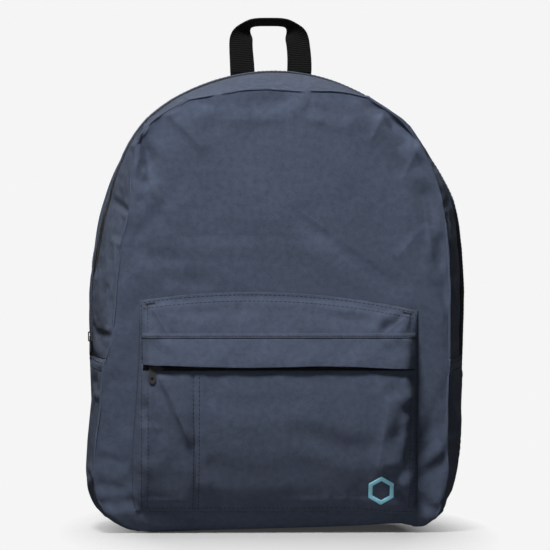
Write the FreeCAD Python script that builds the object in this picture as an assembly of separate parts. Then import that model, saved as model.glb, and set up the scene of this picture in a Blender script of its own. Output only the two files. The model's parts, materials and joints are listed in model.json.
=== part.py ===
"""School backpack with a domed main compartment and a zipped front pocket.

Frame: +Z up, the front faces -Y, and the origin is the centre of the flat base.
Left is -X, which is also the left of a person who wears the bag.
Fabric is drawn thicker than it is, so that every panel is a closed solid.
All lengths are in millimetres.
"""

import FreeCAD, Part
import math
import os

V = FreeCAD.Vector

# ---------------------------------------------------------------- driving dimensions
# main body
half_width = 163.0          # half the width at the zip, where the bag is widest
body_height = 400.0         # floor to the top of the zip
gusset_depth = 115.0        # front seam to back seam at the base
corner_radius = 55.0        # lower corners, seen from the front
rear_inset = 4.0            # how far the back seam lies inside the widest outline
front_inset = 17.0          # how far the front seam lies inside the widest outline
zip_inset = 4.0             # the main zip lies in a shallow valley this deep
strip_swell = 0.5           # the same where the front strip is fullest
swell_reach = 16.0          # zip edge to the fullest line of the front strip
fabric = 1.2                # drawn thickness of coated oxford fabric
crown_base = 55.0           # front face, distance from the middle plane at the floor
crown_middle = 70.0         # the same at the fullest height
crown_top = 50.0            # the same at the top seam
crown_height = 175.0        # height of the fullest point

# back
back_foam = 8.0
lining = 1.0
lining_margin = 0.3         # clearance of foam and lining inside the gusset
binding_width = 8.0
binding = 1.2

# main zip
rear_strip = 40.0           # width of the strip behind the zip
zip_width = 12.0            # opening between the two strips
zip_end = 150.0             # height of the zip's lower ends
fold_height = 218.0         # the opened front folds forward about this line
fold_gap = 0.6
tape = 0.8
tape_lap = 5.0              # how far a tape runs under its strip
coil_width = 2.4
coil_height = 2.2
coil_gap = 1.4              # between the two coils, where the slider's post runs

# sliders and pulls
slider_length = 11.0
slider_head = 9.0
slider_tail = 6.6
slider_plate = 1.1
slider_clearance = 0.35
post = 0.5
arch_reach = 4.4            # half the outer length of the slider's arch
arch_bar = 1.2              # thickness of its feet
arch_width = 1.8
arch_rise = 1.65            # free height under the arch
arch_cap = 1.0
pull_length = 16.0
pull_width = 6.4
pull_neck = 5.2
pull_thick = 1.2
pull_window = 4.0
pull_window_width = 2.5
main_slider_lift = 17.0     # slider above the zip's lower end when closed
pocket_slider_x = -105.0

# front pocket
pocket_half_width = 119.5
pocket_bottom = 16.0
pocket_top = 207.0          # middle of the arched top edge
pocket_top_drop = 11.0      # how much lower the top edge is at its ends
pocket_puff = 24.0          # how far the pocket stands out in its middle
pocket_zip = 144.0          # height of the zip's centre line
pocket_zip_opening = 12.0
pocket_end_margin = 1.5     # zip to the pocket's side walls
pen_seam_x = -71.0
flap_stitch = 168.0         # height of the stitch line that the flap hangs from
flap_edge = 141.0
flap_stand_off = 8.0        # room under the flap's lower edge for the slider
flap_half_width = 117.0
flap_clearance = 0.4
emblem_x = 88.0
emblem_z = 37.0
emblem_radius = 12.5
emblem_rim = 4.0
emblem_print = 0.4

# grab handle
handle_half_width = 36.0
handle_webbing = 19.0
handle_rise = 46.0
handle_corner = 17.0
webbing = 1.6
handle_drop = 2.5           # the handle's foot, below the top of the bag
handle_gap = 0.4
handle_anchor = 14.0

# shoulder straps
yoke_half_width = 78.0
yoke_height = 53.0
yoke_drop = 25.0
yoke = 1.5
strap_drop = 28.0           # top of the bag to where the strap's curve meets the back
strap_low = 42.0
strap_bow = 40.0            # how far the strap stands off the back
strap_back = 1.0            # mesh side
strap_foam = 7.0
strap_face = 1.2
strap_binding = 1.6
pad_low = 112.0
strap_root = 50.0           # length of pad at the top that doesn't swing
strap_foot = 26.0           # the same for the webbing at the foot
swing_gap = 0.5
anchor_x_top = 42.0
foot_setback = 21.0         # strap's foot, inwards from the back seam
strap_curve = [             # centre line: x, share of the strap's height, half width
    (42.0, 1.024, 27.0),
    (47.0, 0.873, 28.0),
    (66.0, 0.667, 30.0),
    (91.0, 0.464, 30.0),
    (108.0, 0.306, 26.0),
    (119.0, 0.188, 18.0),
]
strap_webbing = 20.0
strap_webbing_thick = 1.4
lock_height = 97.0          # height of the ladder lock's middle bar
lock_width = 27.0
lock_thick = 3.6
lock_bar = 3.0
lock_slot_top = 8.0
lock_slot_low = 6.4
lock_cheek = 3.0
lock_clearance = 0.15
lock_lip = 5.0              # how far the lip reaches below the lower bar
lip_clearance = 2.5         # from the lip to where the tail bends
tail_length = 68.0
tab_reach = 42.0            # wing tabs at the lower back corners
tab_height = 58.0
tab_thick = 2.4

# ---------------------------------------------------------------- derived places
arch_z = body_height - half_width
handle_height = body_height - handle_drop
strap_top = body_height - strap_drop
pad_top = strap_top
yoke_high = body_height - yoke_drop
yoke_low = yoke_high - yoke_height
anchor_x_low = half_width - rear_inset - foot_setback
strap_line = [(x, strap_low + share * (strap_top - strap_low), half)
              for x, share, half in strap_curve]
y_back = gusset_depth / 2
y_zip_rear = y_back - rear_strip
y_zip_front = y_zip_rear - zip_width
y_zip = (y_zip_rear + y_zip_front) / 2
y_seam = -gusset_depth / 2
y_far = y_seam - 40.0
big = 600.0
nodes = {}
places = {}
stations = [                # depth, and how far the outline lies inside the widest one
    (y_back, rear_inset),
    (y_zip_rear + rear_strip / 2, 0.0),
    (y_zip_rear, zip_inset),
    (y_zip_front, zip_inset),
    (y_zip_front - swell_reach, strip_swell),
    (y_seam, front_inset),
]


# ---------------------------------------------------------------- small helpers
def box(x0, x1, y0, y1, z0, z1):
    return Part.makeBox(x1 - x0, y1 - y0, z1 - z0, V(x0, y0, z0))


def slab_y(y0, y1):
    return box(-big, big, min(y0, y1), max(y0, y1), -big, big)


def above(z):
    return box(-big, big, -big, big, z, z + big)


def below(z):
    return box(-big, big, -big, big, z - big, z)


def polygon_face(points):
    return Part.Face(Part.makePolygon(points + [points[0]]))


def add(name, shape):
    """Keeps a node: one solid, or several as a compound."""
    solids = [s for s in shape.Solids if s.Volume > 0.01]
    nodes[name] = solids[0] if len(solids) == 1 else Part.makeCompound(solids)


def mirrored(shape):
    return shape.mirror(V(0, 0, 0), V(1, 0, 0))


def add_pair(name, right_shape):
    """A piece on the right strap and its mirror image on the left one."""
    add(name + "_right", right_shape)
    add(name + "_left", mirrored(right_shape))


def frame_placement(origin, across, outward, along):
    """Places a piece drawn with X across, Y outward and Z along."""
    m = FreeCAD.Matrix(
        across.x, outward.x, along.x, origin.x,
        across.y, outward.y, along.y, origin.y,
        across.z, outward.z, along.z, origin.z,
        0, 0, 0, 1,
    )
    return FreeCAD.Placement(m)


def placed(shape, placement):
    copy = shape.copy()
    copy.Placement = placement.multiply(copy.Placement)
    return copy


# ---------------------------------------------------------------- the bag's outline
def side_inset(y):
    """How far the outline at depth y lies inside the widest one."""
    for (y0, a), (y1, b) in zip(stations, stations[1:]):
        if y >= y1 or y1 == y_seam:
            return a + (b - a) * (y0 - y) / (y0 - y1)


def outline(y, inset):
    """Flat base, round lower corners, straight sides and a half-round top."""
    hw = half_width - side_inset(y) - inset
    r = corner_radius - inset
    low, c45 = inset, math.sqrt(0.5)
    p = {
        "base_left": V(-hw + r, y, low),
        "base_right": V(hw - r, y, low),
        "right_low": V(hw, y, low + r),
        "right_high": V(hw, y, arch_z),
        "left_high": V(-hw, y, arch_z),
        "left_low": V(-hw, y, low + r),
    }
    right_mid = V(hw - r + r * c45, y, low + r - r * c45)
    left_mid = V(-hw + r - r * c45, y, low + r - r * c45)
    edges = [
        Part.makeLine(p["base_left"], p["base_right"]),
        Part.Arc(p["base_right"], right_mid, p["right_low"]).toShape(),
        Part.makeLine(p["right_low"], p["right_high"]),
        Part.Arc(p["right_high"], V(0, y, arch_z + hw), p["left_high"]).toShape(),
        Part.makeLine(p["left_high"], p["left_low"]),
        Part.Arc(p["left_low"], left_mid, p["base_left"]).toShape(),
    ]
    return Part.Wire(edges)


def bag_solid(inset):
    """The filled outline from the back seam to well past the front face."""
    depths = [y for y, _ in stations[:-1]] + [y_far]
    return Part.makeLoft([outline(y, inset) for y in depths], True, True)


def tube(inset, thick):
    """A wall that follows the bag's sides, open at the front and the back."""
    return bag_solid(inset).cut(bag_solid(inset + thick))


def circle_through(a, b, c):
    """Centre and radius of the circle through three (y, z) points."""
    ax, ay = a
    bx, by = b
    cx, cy = c
    d = 2 * (ax * (by - cy) + bx * (cy - ay) + cx * (ay - by))
    ux = ((ax**2 + ay**2) * (by - cy) + (bx**2 + by**2) * (cy - ay)
          + (cx**2 + cy**2) * (ay - by)) / d
    uy = ((ax**2 + ay**2) * (cx - bx) + (bx**2 + by**2) * (ax - cx)
          + (cx**2 + cy**2) * (bx - ax)) / d
    return (ux, uy), math.hypot(ax - ux, ay - uy)


def rod(centre, radius):
    """A round bar along X about a (y, z) centre: what lies behind a crowned face."""
    y, z = centre
    return Part.makeCylinder(radius, 2 * big, V(-big, y, z), V(1, 0, 0))


top_seam = body_height - front_inset
crown_centre, crown_radius = circle_through(
    (-crown_base, 0.0), (-crown_middle, crown_height), (-crown_top, top_seam)
)


def crown_y(z, offset=0.0):
    """Depth of the front face at height z, moved inwards by offset."""
    r = crown_radius - offset
    return crown_centre[0] - math.sqrt(r**2 - (z - crown_centre[1]) ** 2)


pocket_middle = (pocket_bottom + pocket_top) / 2
pocket_centre, pocket_radius = circle_through(
    (crown_y(pocket_bottom), pocket_bottom),
    (crown_y(pocket_middle) - pocket_puff, pocket_middle),
    (crown_y(pocket_top), pocket_top),
)


def pocket_y(z, offset=0.0):
    """Depth of the pocket's face at height z, moved inwards by offset."""
    r = pocket_radius - offset
    return pocket_centre[0] - math.sqrt(r**2 - (z - pocket_centre[1]) ** 2)


# ---------------------------------------------------------------- main compartment
def main_compartment():
    filled = bag_solid(0.0)
    wall = tube(0.0, fabric)
    face = rod(crown_centre, crown_radius)
    behind_face = rod(crown_centre, crown_radius - fabric)
    front = filled.common(face).cut(behind_face).common(slab_y(y_far, 0))
    wall = wall.common(behind_face)
    low_fold, high_fold = fold_height - fold_gap / 2, fold_height + fold_gap / 2

    add("back_panel", filled.common(slab_y(y_back - fabric, y_back)))
    add("lower_front_panel", front.common(below(low_fold)))
    add("upper_front_panel", front.common(above(high_fold)))
    add("lower_gusset", wall.common(slab_y(y_far, y_back - fabric)).common(below(zip_end)))
    upper_wall = wall.common(above(zip_end))
    add("rear_zip_strip", upper_wall.common(slab_y(y_zip_rear, y_back - fabric)))
    front_strip = upper_wall.common(slab_y(y_far, y_zip_front))
    add("front_strip_legs", front_strip.common(below(low_fold)))
    add("front_zip_strip", front_strip.common(above(high_fold)))

    inside = bag_solid(fabric + lining_margin)
    foam_back = y_back - fabric
    add("back_foam", inside.common(slab_y(foam_back - back_foam, foam_back)))
    lining_back = foam_back - back_foam
    add("back_lining", inside.common(slab_y(lining_back - lining, lining_back)))
    rear_binding = tube(fabric + lining_margin, binding_width)
    y_binding = lining_back - lining
    add("seam_binding_rear", rear_binding.common(slab_y(y_binding - binding, y_binding)))
    front_binding = tube(fabric, binding_width).common(slab_y(y_far, 0))
    front_binding = front_binding.common(behind_face).cut(
        rod(crown_centre, crown_radius - fabric - binding)
    )
    add("seam_binding_front", front_binding.common(below(low_fold)))
    add("seam_binding_flap", front_binding.common(above(high_fold)))


def main_zip():
    low_fold, high_fold = fold_height - fold_gap / 2, fold_height + fold_gap / 2
    track = above(zip_end)
    tape_wall = tube(fabric, tape)
    coil_wall = tube(fabric + tape / 2 - coil_height / 2, coil_height)
    near, far = coil_gap / 2, coil_gap / 2 + coil_width

    add("main_zip_tape_rear", tape_wall.common(slab_y(y_zip + far, y_zip_rear + tape_lap)).common(track))
    add("main_zip_coil_rear", coil_wall.common(slab_y(y_zip + near, y_zip + far)).common(track))
    front_tape = tape_wall.common(slab_y(y_zip_front - tape_lap, y_zip - far)).common(track)
    front_coil = coil_wall.common(slab_y(y_zip - far, y_zip - near)).common(track)
    for name, shape in (("tape", front_tape), ("coil", front_coil)):
        add(f"main_zip_{name}_front_legs", shape.common(below(low_fold)))
        add(f"main_zip_{name}_front", shape.common(above(high_fold)))


# ---------------------------------------------------------------- sliders and pulls
plate_in = coil_height / 2 + slider_clearance
plate_out = plate_in + slider_plate
pin_radius = pull_thick / 2
pin_out = plate_out + arch_rise / 2


def slider():
    """X across the zip, Y outward, Z along the travel; the wide head is at -Z."""
    half = slider_length / 2
    outline_points = [
        V(-slider_head / 2, 0, -half + 1.5), V(-slider_head / 2 + 1.5, 0, -half),
        V(slider_head / 2 - 1.5, 0, -half), V(slider_head / 2, 0, -half + 1.5),
        V(slider_tail / 2, 0, half - 1.0), V(slider_tail / 2 - 1.0, 0, half),
        V(-slider_tail / 2 + 1.0, 0, half), V(-slider_tail / 2, 0, half - 1.0),
    ]
    plate = polygon_face(outline_points).extrude(V(0, slider_plate, 0))
    top = plate.translated(V(0, plate_in, 0))
    bottom = plate.translated(V(0, -plate_out, 0))
    web = box(-post / 2, post / 2, -plate_in, plate_in, -half + 1.0, half - 1.0)
    foot, span = arch_reach, arch_reach - arch_bar
    under = plate_out + arch_rise
    cap = under + arch_cap
    arch = polygon_face([
        V(0, plate_out, -foot), V(0, cap - 0.6, -foot), V(0, cap, -foot + 0.8),
        V(0, cap, foot - 0.8), V(0, cap - 0.6, foot), V(0, plate_out, foot),
        V(0, plate_out, span), V(0, under, span), V(0, under, -span), V(0, plate_out, -span),
    ]).extrude(V(arch_width, 0, 0)).translated(V(-arch_width / 2, 0, 0))
    return top.fuse([bottom, web, arch]).removeSplitter()


def pull():
    """Hangs along -Z from a round pin on the X axis, its middle plane at Y = 0."""
    low = -pull_length
    body = polygon_face([
        V(-pull_neck / 2, 0, 0), V(-pull_neck / 2, 0, -pull_window - 2.0),
        V(-pull_width / 2, 0, low + 3.0), V(-pull_width / 2 + 1.6, 0, low),
        V(pull_width / 2 - 1.6, 0, low), V(pull_width / 2, 0, low + 3.0),
        V(pull_neck / 2, 0, -pull_window - 2.0), V(pull_neck / 2, 0, 0),
    ]).extrude(V(0, pull_thick, 0)).translated(V(0, -pull_thick / 2, 0))
    window = box(-pull_window_width / 2, pull_window_width / 2, -5, 5,
                 -pin_radius - pull_window, 5)
    grip_hole = Part.makeCylinder(1.2, 10, V(0, -5, low + 4.2), V(0, 1, 0))
    pin = Part.makeCylinder(pin_radius, pull_neck, V(-pull_neck / 2, 0, 0), V(1, 0, 0))
    return body.cut(window).cut(grip_hole).fuse(pin).removeSplitter()


def sliders():
    coil_middle = half_width - zip_inset - (fabric + tape / 2)
    origin = V(-coil_middle, y_zip, zip_end + main_slider_lift)
    at_leg = frame_placement(origin, V(0, 1, 0), V(-1, 0, 0), V(0, 0, 1))
    add("main_slider", placed(slider(), at_leg))
    main_pin = at_leg.multVec(V(0, pin_out, 0))
    hang = frame_placement(main_pin, V(0, 1, 0), V(-1, 0, 0), V(0, 0, 1))
    add("main_pull", placed(pull(), hang))

    across, outward, zip_origin = pocket_zip_axes()
    origin = V(pocket_slider_x, zip_origin.y, zip_origin.z)
    at_pocket = frame_placement(origin, across, outward, V(1, 0, 0))
    add("pocket_slider", placed(slider(), at_pocket))
    foot_middle = -(arch_reach - arch_bar / 2)
    leg = at_pocket.multVec(V(0, pin_out, foot_middle))
    pin_lift = arch_width / 2 + pin_radius + 0.2
    hang_origin = leg + across * pin_lift
    side = outward.cross(across)
    add("pocket_pull", placed(pull(), frame_placement(hang_origin, side, outward, across)))
    places["main pull hinge"] = main_pin
    places["pocket pull hinge"] = leg
    print("pocket pull axis", outward)


# ---------------------------------------------------------------- front pocket
def pocket_zip_axes():
    """Directions up the pocket's face and out of it at its zip, and a point on the coils."""
    lean = math.asin((pocket_zip - pocket_centre[1]) / pocket_radius)
    outward = V(0, -math.cos(lean), math.sin(lean))
    up = V(0, math.sin(lean), math.cos(lean))
    middle_offset = fabric + tape / 2
    centre = V(0, pocket_centre[0], pocket_centre[1]) + outward * (pocket_radius - middle_offset)
    return up, outward, centre


def pocket_prism(inset, z_low, z_high):
    """The pocket's front outline, with its arched top edge, run along Y."""
    hw = pocket_half_width - inset
    end = pocket_top - pocket_top_drop - inset
    low = pocket_bottom + inset
    arc = Part.Arc(V(hw, 0, end), V(0, 0, pocket_top - inset), V(-hw, 0, end)).toShape()
    wire = Part.Wire([
        Part.makeLine(V(-hw, 0, low), V(hw, 0, low)),
        Part.makeLine(V(hw, 0, low), V(hw, 0, end)),
        arc,
        Part.makeLine(V(-hw, 0, end), V(-hw, 0, low)),
    ])
    prism = Part.Face(wire).extrude(V(0, -3 * gusset_depth, 0))
    return prism.common(box(-big, big, -big, big, z_low, z_high))


def front_pocket():
    body_face = rod(crown_centre, crown_radius)
    outer = rod(pocket_centre, pocket_radius)
    inner = rod(pocket_centre, pocket_radius - fabric)
    half_gap = pocket_zip_opening / 2
    low_edge, high_edge = pocket_zip - half_gap, pocket_zip + half_gap

    def shell(z_low, z_high):
        walls = pocket_prism(0.0, z_low, z_high).common(outer).cut(body_face)
        return walls.cut(pocket_prism(fabric, -big, big).common(inner))

    lower = shell(0, low_edge)
    pen = lower.common(box(-big, pen_seam_x, -big, big, -big, big))
    add("pocket_pen_panel", pen)
    add("pocket_main_panel", lower.common(box(pen_seam_x, big, -big, big, -big, big)))
    add("pocket_top_panel", shell(high_edge, big))
    walls = shell(low_edge, high_edge)
    ends = walls.cut(box(-pocket_half_width + fabric, pocket_half_width - fabric,
                         -big, big, -big, big))
    add("pocket_zip_end_tabs", ends)

    zip_half = pocket_half_width - fabric - pocket_end_margin
    run = box(-zip_half, zip_half, -big, 0, -big, big)
    tape_band = rod(pocket_centre, pocket_radius - fabric).cut(
        rod(pocket_centre, pocket_radius - fabric - tape))
    coil_out = fabric + tape / 2 - coil_height / 2
    coil_band = rod(pocket_centre, pocket_radius - coil_out).cut(
        rod(pocket_centre, pocket_radius - coil_out - coil_height))
    near, far = coil_gap / 2, coil_gap / 2 + coil_width
    for name, sign in (("upper", 1), ("lower", -1)):
        spans = {"tape": (far, half_gap + tape_lap), "coil": (near, far)}
        for kind, (a, b) in spans.items():
            z0, z1 = sorted((pocket_zip + sign * a, pocket_zip + sign * b))
            band = tape_band if kind == "tape" else coil_band
            add(f"pocket_zip_{kind}_{name}", band.common(run).common(
                box(-big, big, -big, 0, z0, z1)))

    y_top = pocket_y(flap_stitch) - flap_clearance
    y_edge = pocket_y(flap_edge) - flap_stand_off
    flap = polygon_face([
        V(-flap_half_width, y_top, flap_stitch), V(-flap_half_width, y_edge, flap_edge),
        V(-flap_half_width, y_edge - fabric, flap_edge),
        V(-flap_half_width, y_top - fabric, flap_stitch),
    ]).extrude(V(2 * flap_half_width, 0, 0))
    add("pocket_flap", flap)
    seam_low = flap_stitch + 0.3
    seam = polygon_face([
        V(-flap_half_width, pocket_y(seam_low) - 0.02, seam_low),
        V(-flap_half_width, y_top - fabric + 0.1, seam_low),
        V(-flap_half_width, pocket_y(seam_low + 3.0) - fabric, seam_low + 3.0),
        V(-flap_half_width, pocket_y(seam_low + 3.0) - 0.02, seam_low + 3.0),
    ]).extrude(V(2 * flap_half_width, 0, 0)).cut(outer)
    add("pocket_flap_seam", seam)
    places["flap hinge"] = V(0, y_top - fabric, flap_stitch)


def emblem():
    """A plain six-sided ring printed low on the pocket."""
    def hexagon(radius):
        corners = [V(emblem_x + radius * math.cos(math.radians(a)), 0,
                     emblem_z + radius * math.sin(math.radians(a))) for a in range(30, 390, 60)]
        return polygon_face(corners).extrude(V(0, -3 * gusset_depth, 0))

    skin = rod(pocket_centre, pocket_radius + emblem_print).cut(rod(pocket_centre, pocket_radius))
    add("emblem_print", hexagon(emblem_radius).cut(hexagon(emblem_radius - emblem_rim)).common(skin))


# ---------------------------------------------------------------- grab handle
def grab_handle():
    def arch(half, top, radius, bottom):
        c = radius * (1 - math.sqrt(0.5))
        return Part.Face(Part.Wire([
            Part.makeLine(V(-half, 0, bottom), V(half, 0, bottom)),
            Part.makeLine(V(half, 0, bottom), V(half, 0, top - radius)),
            Part.Arc(V(half, 0, top - radius), V(half - c, 0, top - c),
                     V(half - radius, 0, top)).toShape(),
            Part.makeLine(V(half - radius, 0, top), V(-half + radius, 0, top)),
            Part.Arc(V(-half + radius, 0, top), V(-half + c, 0, top - c),
                     V(-half, 0, top - radius)).toShape(),
            Part.makeLine(V(-half, 0, top - radius), V(-half, 0, bottom)),
        ])).extrude(V(0, webbing, 0)).translated(V(0, y_back, 0))

    inner_half = handle_half_width - handle_webbing
    top = handle_height + handle_rise
    y_pin, z_pin = y_back + webbing / 2, handle_height + webbing / 2
    loop = arch(handle_half_width, top, handle_corner + handle_webbing / 2, z_pin)
    loop = loop.cut(arch(inner_half, top - handle_webbing * 0.45, handle_corner * 0.6,
                         handle_height - 1.0))
    feet = [Part.makeCylinder(webbing / 2, handle_webbing, V(x, y_pin, z_pin), V(1, 0, 0))
            for x in (-handle_half_width, inner_half)]
    add("grab_handle", loop.fuse(feet).removeSplitter())
    places["handle hinge"] = V(0, y_pin, z_pin)
    low = handle_height - handle_gap - handle_anchor
    anchors = [box(x0, x1, y_back, y_back + webbing, low, handle_height - handle_gap)
               for x0, x1 in ((inner_half, handle_half_width), (-handle_half_width, -inner_half))]
    add("grab_handle_anchors", Part.makeCompound(anchors))


# ---------------------------------------------------------------- shoulder straps
half_chord = (strap_top - strap_low) / 2
strap_radius = (half_chord**2 + strap_bow**2) / (2 * strap_bow)
strap_centre = (y_back + yoke + strap_bow - strap_radius, (strap_top + strap_low) / 2)
pad_thick = strap_back + strap_foam + strap_face
swing_top = V(anchor_x_top, y_back + yoke + 1.5, strap_top)
swing_low = V(anchor_x_low, y_back + yoke + 1.5, strap_low)
swing_axis = (swing_low - swing_top).normalize()


def line_curve():
    curve = Part.BSplineCurve()
    curve.interpolate([V(x, 0, z) for x, z, _ in strap_line])
    return curve


def pad_outline(extra):
    """Both edges of the pad as curves, a half width each side of its centre line."""
    curve = line_curve()
    edges = []
    for side in (1, -1):
        points = []
        for x, z, half in strap_line:
            at = curve.parameter(V(x, 0, z))
            along = curve.tangent(at)[0]
            normal = V(-along.z, 0, along.x)
            points.append(V(x, 0, z) + normal * (side * (half + extra)))
        edge = Part.BSplineCurve()
        edge.interpolate(points)
        edges.append(edge.toShape())
    ends = [(e.valueAt(e.FirstParameter), e.valueAt(e.LastParameter)) for e in edges]
    wire = Part.Wire([
        edges[0], Part.makeLine(ends[0][1], ends[1][1]),
        edges[1], Part.makeLine(ends[1][0], ends[0][0]),
    ])
    return Part.Face(wire).extrude(V(0, 400, 0)).translated(V(0, -50, 0))


def strap_band(offset, thick):
    return rod(strap_centre, strap_radius + offset + thick).cut(
        rod(strap_centre, strap_radius + offset)
    ).common(slab_y(y_back + yoke, y_back + yoke + strap_bow + 30))


def half_space(point, normal, side):
    """Everything on one side of a plane."""
    length = 2 * big
    slab = Part.makeBox(length, length, length, V(-length / 2, -length / 2, 0))
    turn = FreeCAD.Rotation(V(0, 0, 1), normal * side)
    slab.Placement = FreeCAD.Placement(point, turn)
    return slab


def shoulder_straps():
    cut_at = swing_top + swing_axis * strap_root
    moving_side = half_space(cut_at + swing_axis * (swing_gap / 2), swing_axis, 1)
    fixed_side = half_space(cut_at - swing_axis * (swing_gap / 2), swing_axis, -1)
    outline_prism = pad_outline(0.0)
    pad_zone = box(0, big, 0, big, pad_low, pad_top)

    whole = outline_prism.common(strap_band(0.0, pad_thick)).common(pad_zone)
    add_pair("strap_root", whole.common(fixed_side))
    layers = (("strap_mesh", 0.0, strap_back), ("strap_foam", strap_back, strap_foam),
              ("strap_face", strap_back + strap_foam, strap_face))
    for name, offset, thick in layers:
        layer = outline_prism.common(strap_band(offset, thick)).common(pad_zone)
        add_pair(name, layer.common(moving_side))
    rim = pad_outline(strap_binding).cut(outline_prism)
    rim = rim.common(strap_band(0.0, pad_thick)).common(pad_zone).common(moving_side)
    add_pair("strap_binding", rim)

    yoke_shape = polygon_face([
        V(-yoke_half_width, y_back, yoke_low), V(yoke_half_width, y_back, yoke_low),
        V(yoke_half_width, y_back, yoke_low + 20), V(yoke_half_width - 18, y_back, yoke_high),
        V(-yoke_half_width + 18, y_back, yoke_high), V(-yoke_half_width, y_back, yoke_low + 20),
    ]).extrude(V(0, yoke, 0))
    add("strap_yoke", yoke_shape)


def lock_placement():
    """Where the ladder lock sits on the strap: X across, Y outward, Z up the strap."""
    lean = math.asin((strap_centre[1] - lock_height) / strap_radius)
    outward = V(0, math.cos(lean), -math.sin(lean))
    up = V(0, math.sin(lean), math.cos(lean))
    x_high, z_high, _ = strap_line[-1]
    slant = math.atan2(anchor_x_low - x_high, z_high - strap_low)
    along = up * math.cos(slant) - V(math.sin(slant), 0, 0)
    across = V(math.cos(slant), 0, 0) + up * math.sin(slant)
    x_lock = x_high + (z_high - lock_height) * math.tan(slant)
    centre = V(0, strap_centre[0], strap_centre[1]) + outward * (strap_radius + pad_thick / 2)
    return frame_placement(V(x_lock, centre.y, centre.z), across, outward, along), lean, slant


def ribbon(points, width, thick):
    """A webbing strip whose middle follows (out, up) points, run across by width."""
    half = thick / 2
    left, right = [], []
    for i, (n, s) in enumerate(points):
        before = points[max(i - 1, 0)]
        after = points[min(i + 1, len(points) - 1)]
        dn, ds = after[0] - before[0], after[1] - before[1]
        size = math.hypot(dn, ds)
        left.append(V(-width / 2, n - ds / size * half, s + dn / size * half))
        right.append(V(-width / 2, n + ds / size * half, s - dn / size * half))
    return polygon_face(left + right[::-1]).extrude(V(width, 0, 0))


def arc_points(centre, radius, start, end, count):
    """Points (out, up) on an arc; angles in degrees from straight out."""
    steps = [start + (end - start) * i / (count - 1) for i in range(count)]
    return [(centre[0] + radius * math.cos(math.radians(a)),
             centre[1] + radius * math.sin(math.radians(a))) for a in steps]


def wing_tab():
    """Folded fabric triangle in the side seam that the webbing is sewn to."""
    tab_low = strap_low - 24
    hw_back = half_width - rear_inset
    tab = polygon_face([
        V(hw_back - 1.0, y_back, tab_low + tab_height),
        V(hw_back - 1.0, y_back, corner_radius * 0.72),
        V(hw_back - 12.0, y_back, tab_low + 4.0),
        V(hw_back - 1.0 - tab_reach, y_back, strap_low - 4),
        V(hw_back - 1.0 - tab_reach + 6, y_back, strap_low + 14),
    ]).extrude(V(0, tab_thick, 0))
    seam = outline(y_back, 0.5)
    return tab.common(Part.Face(seam).extrude(V(0, tab_thick, 0)))


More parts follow.
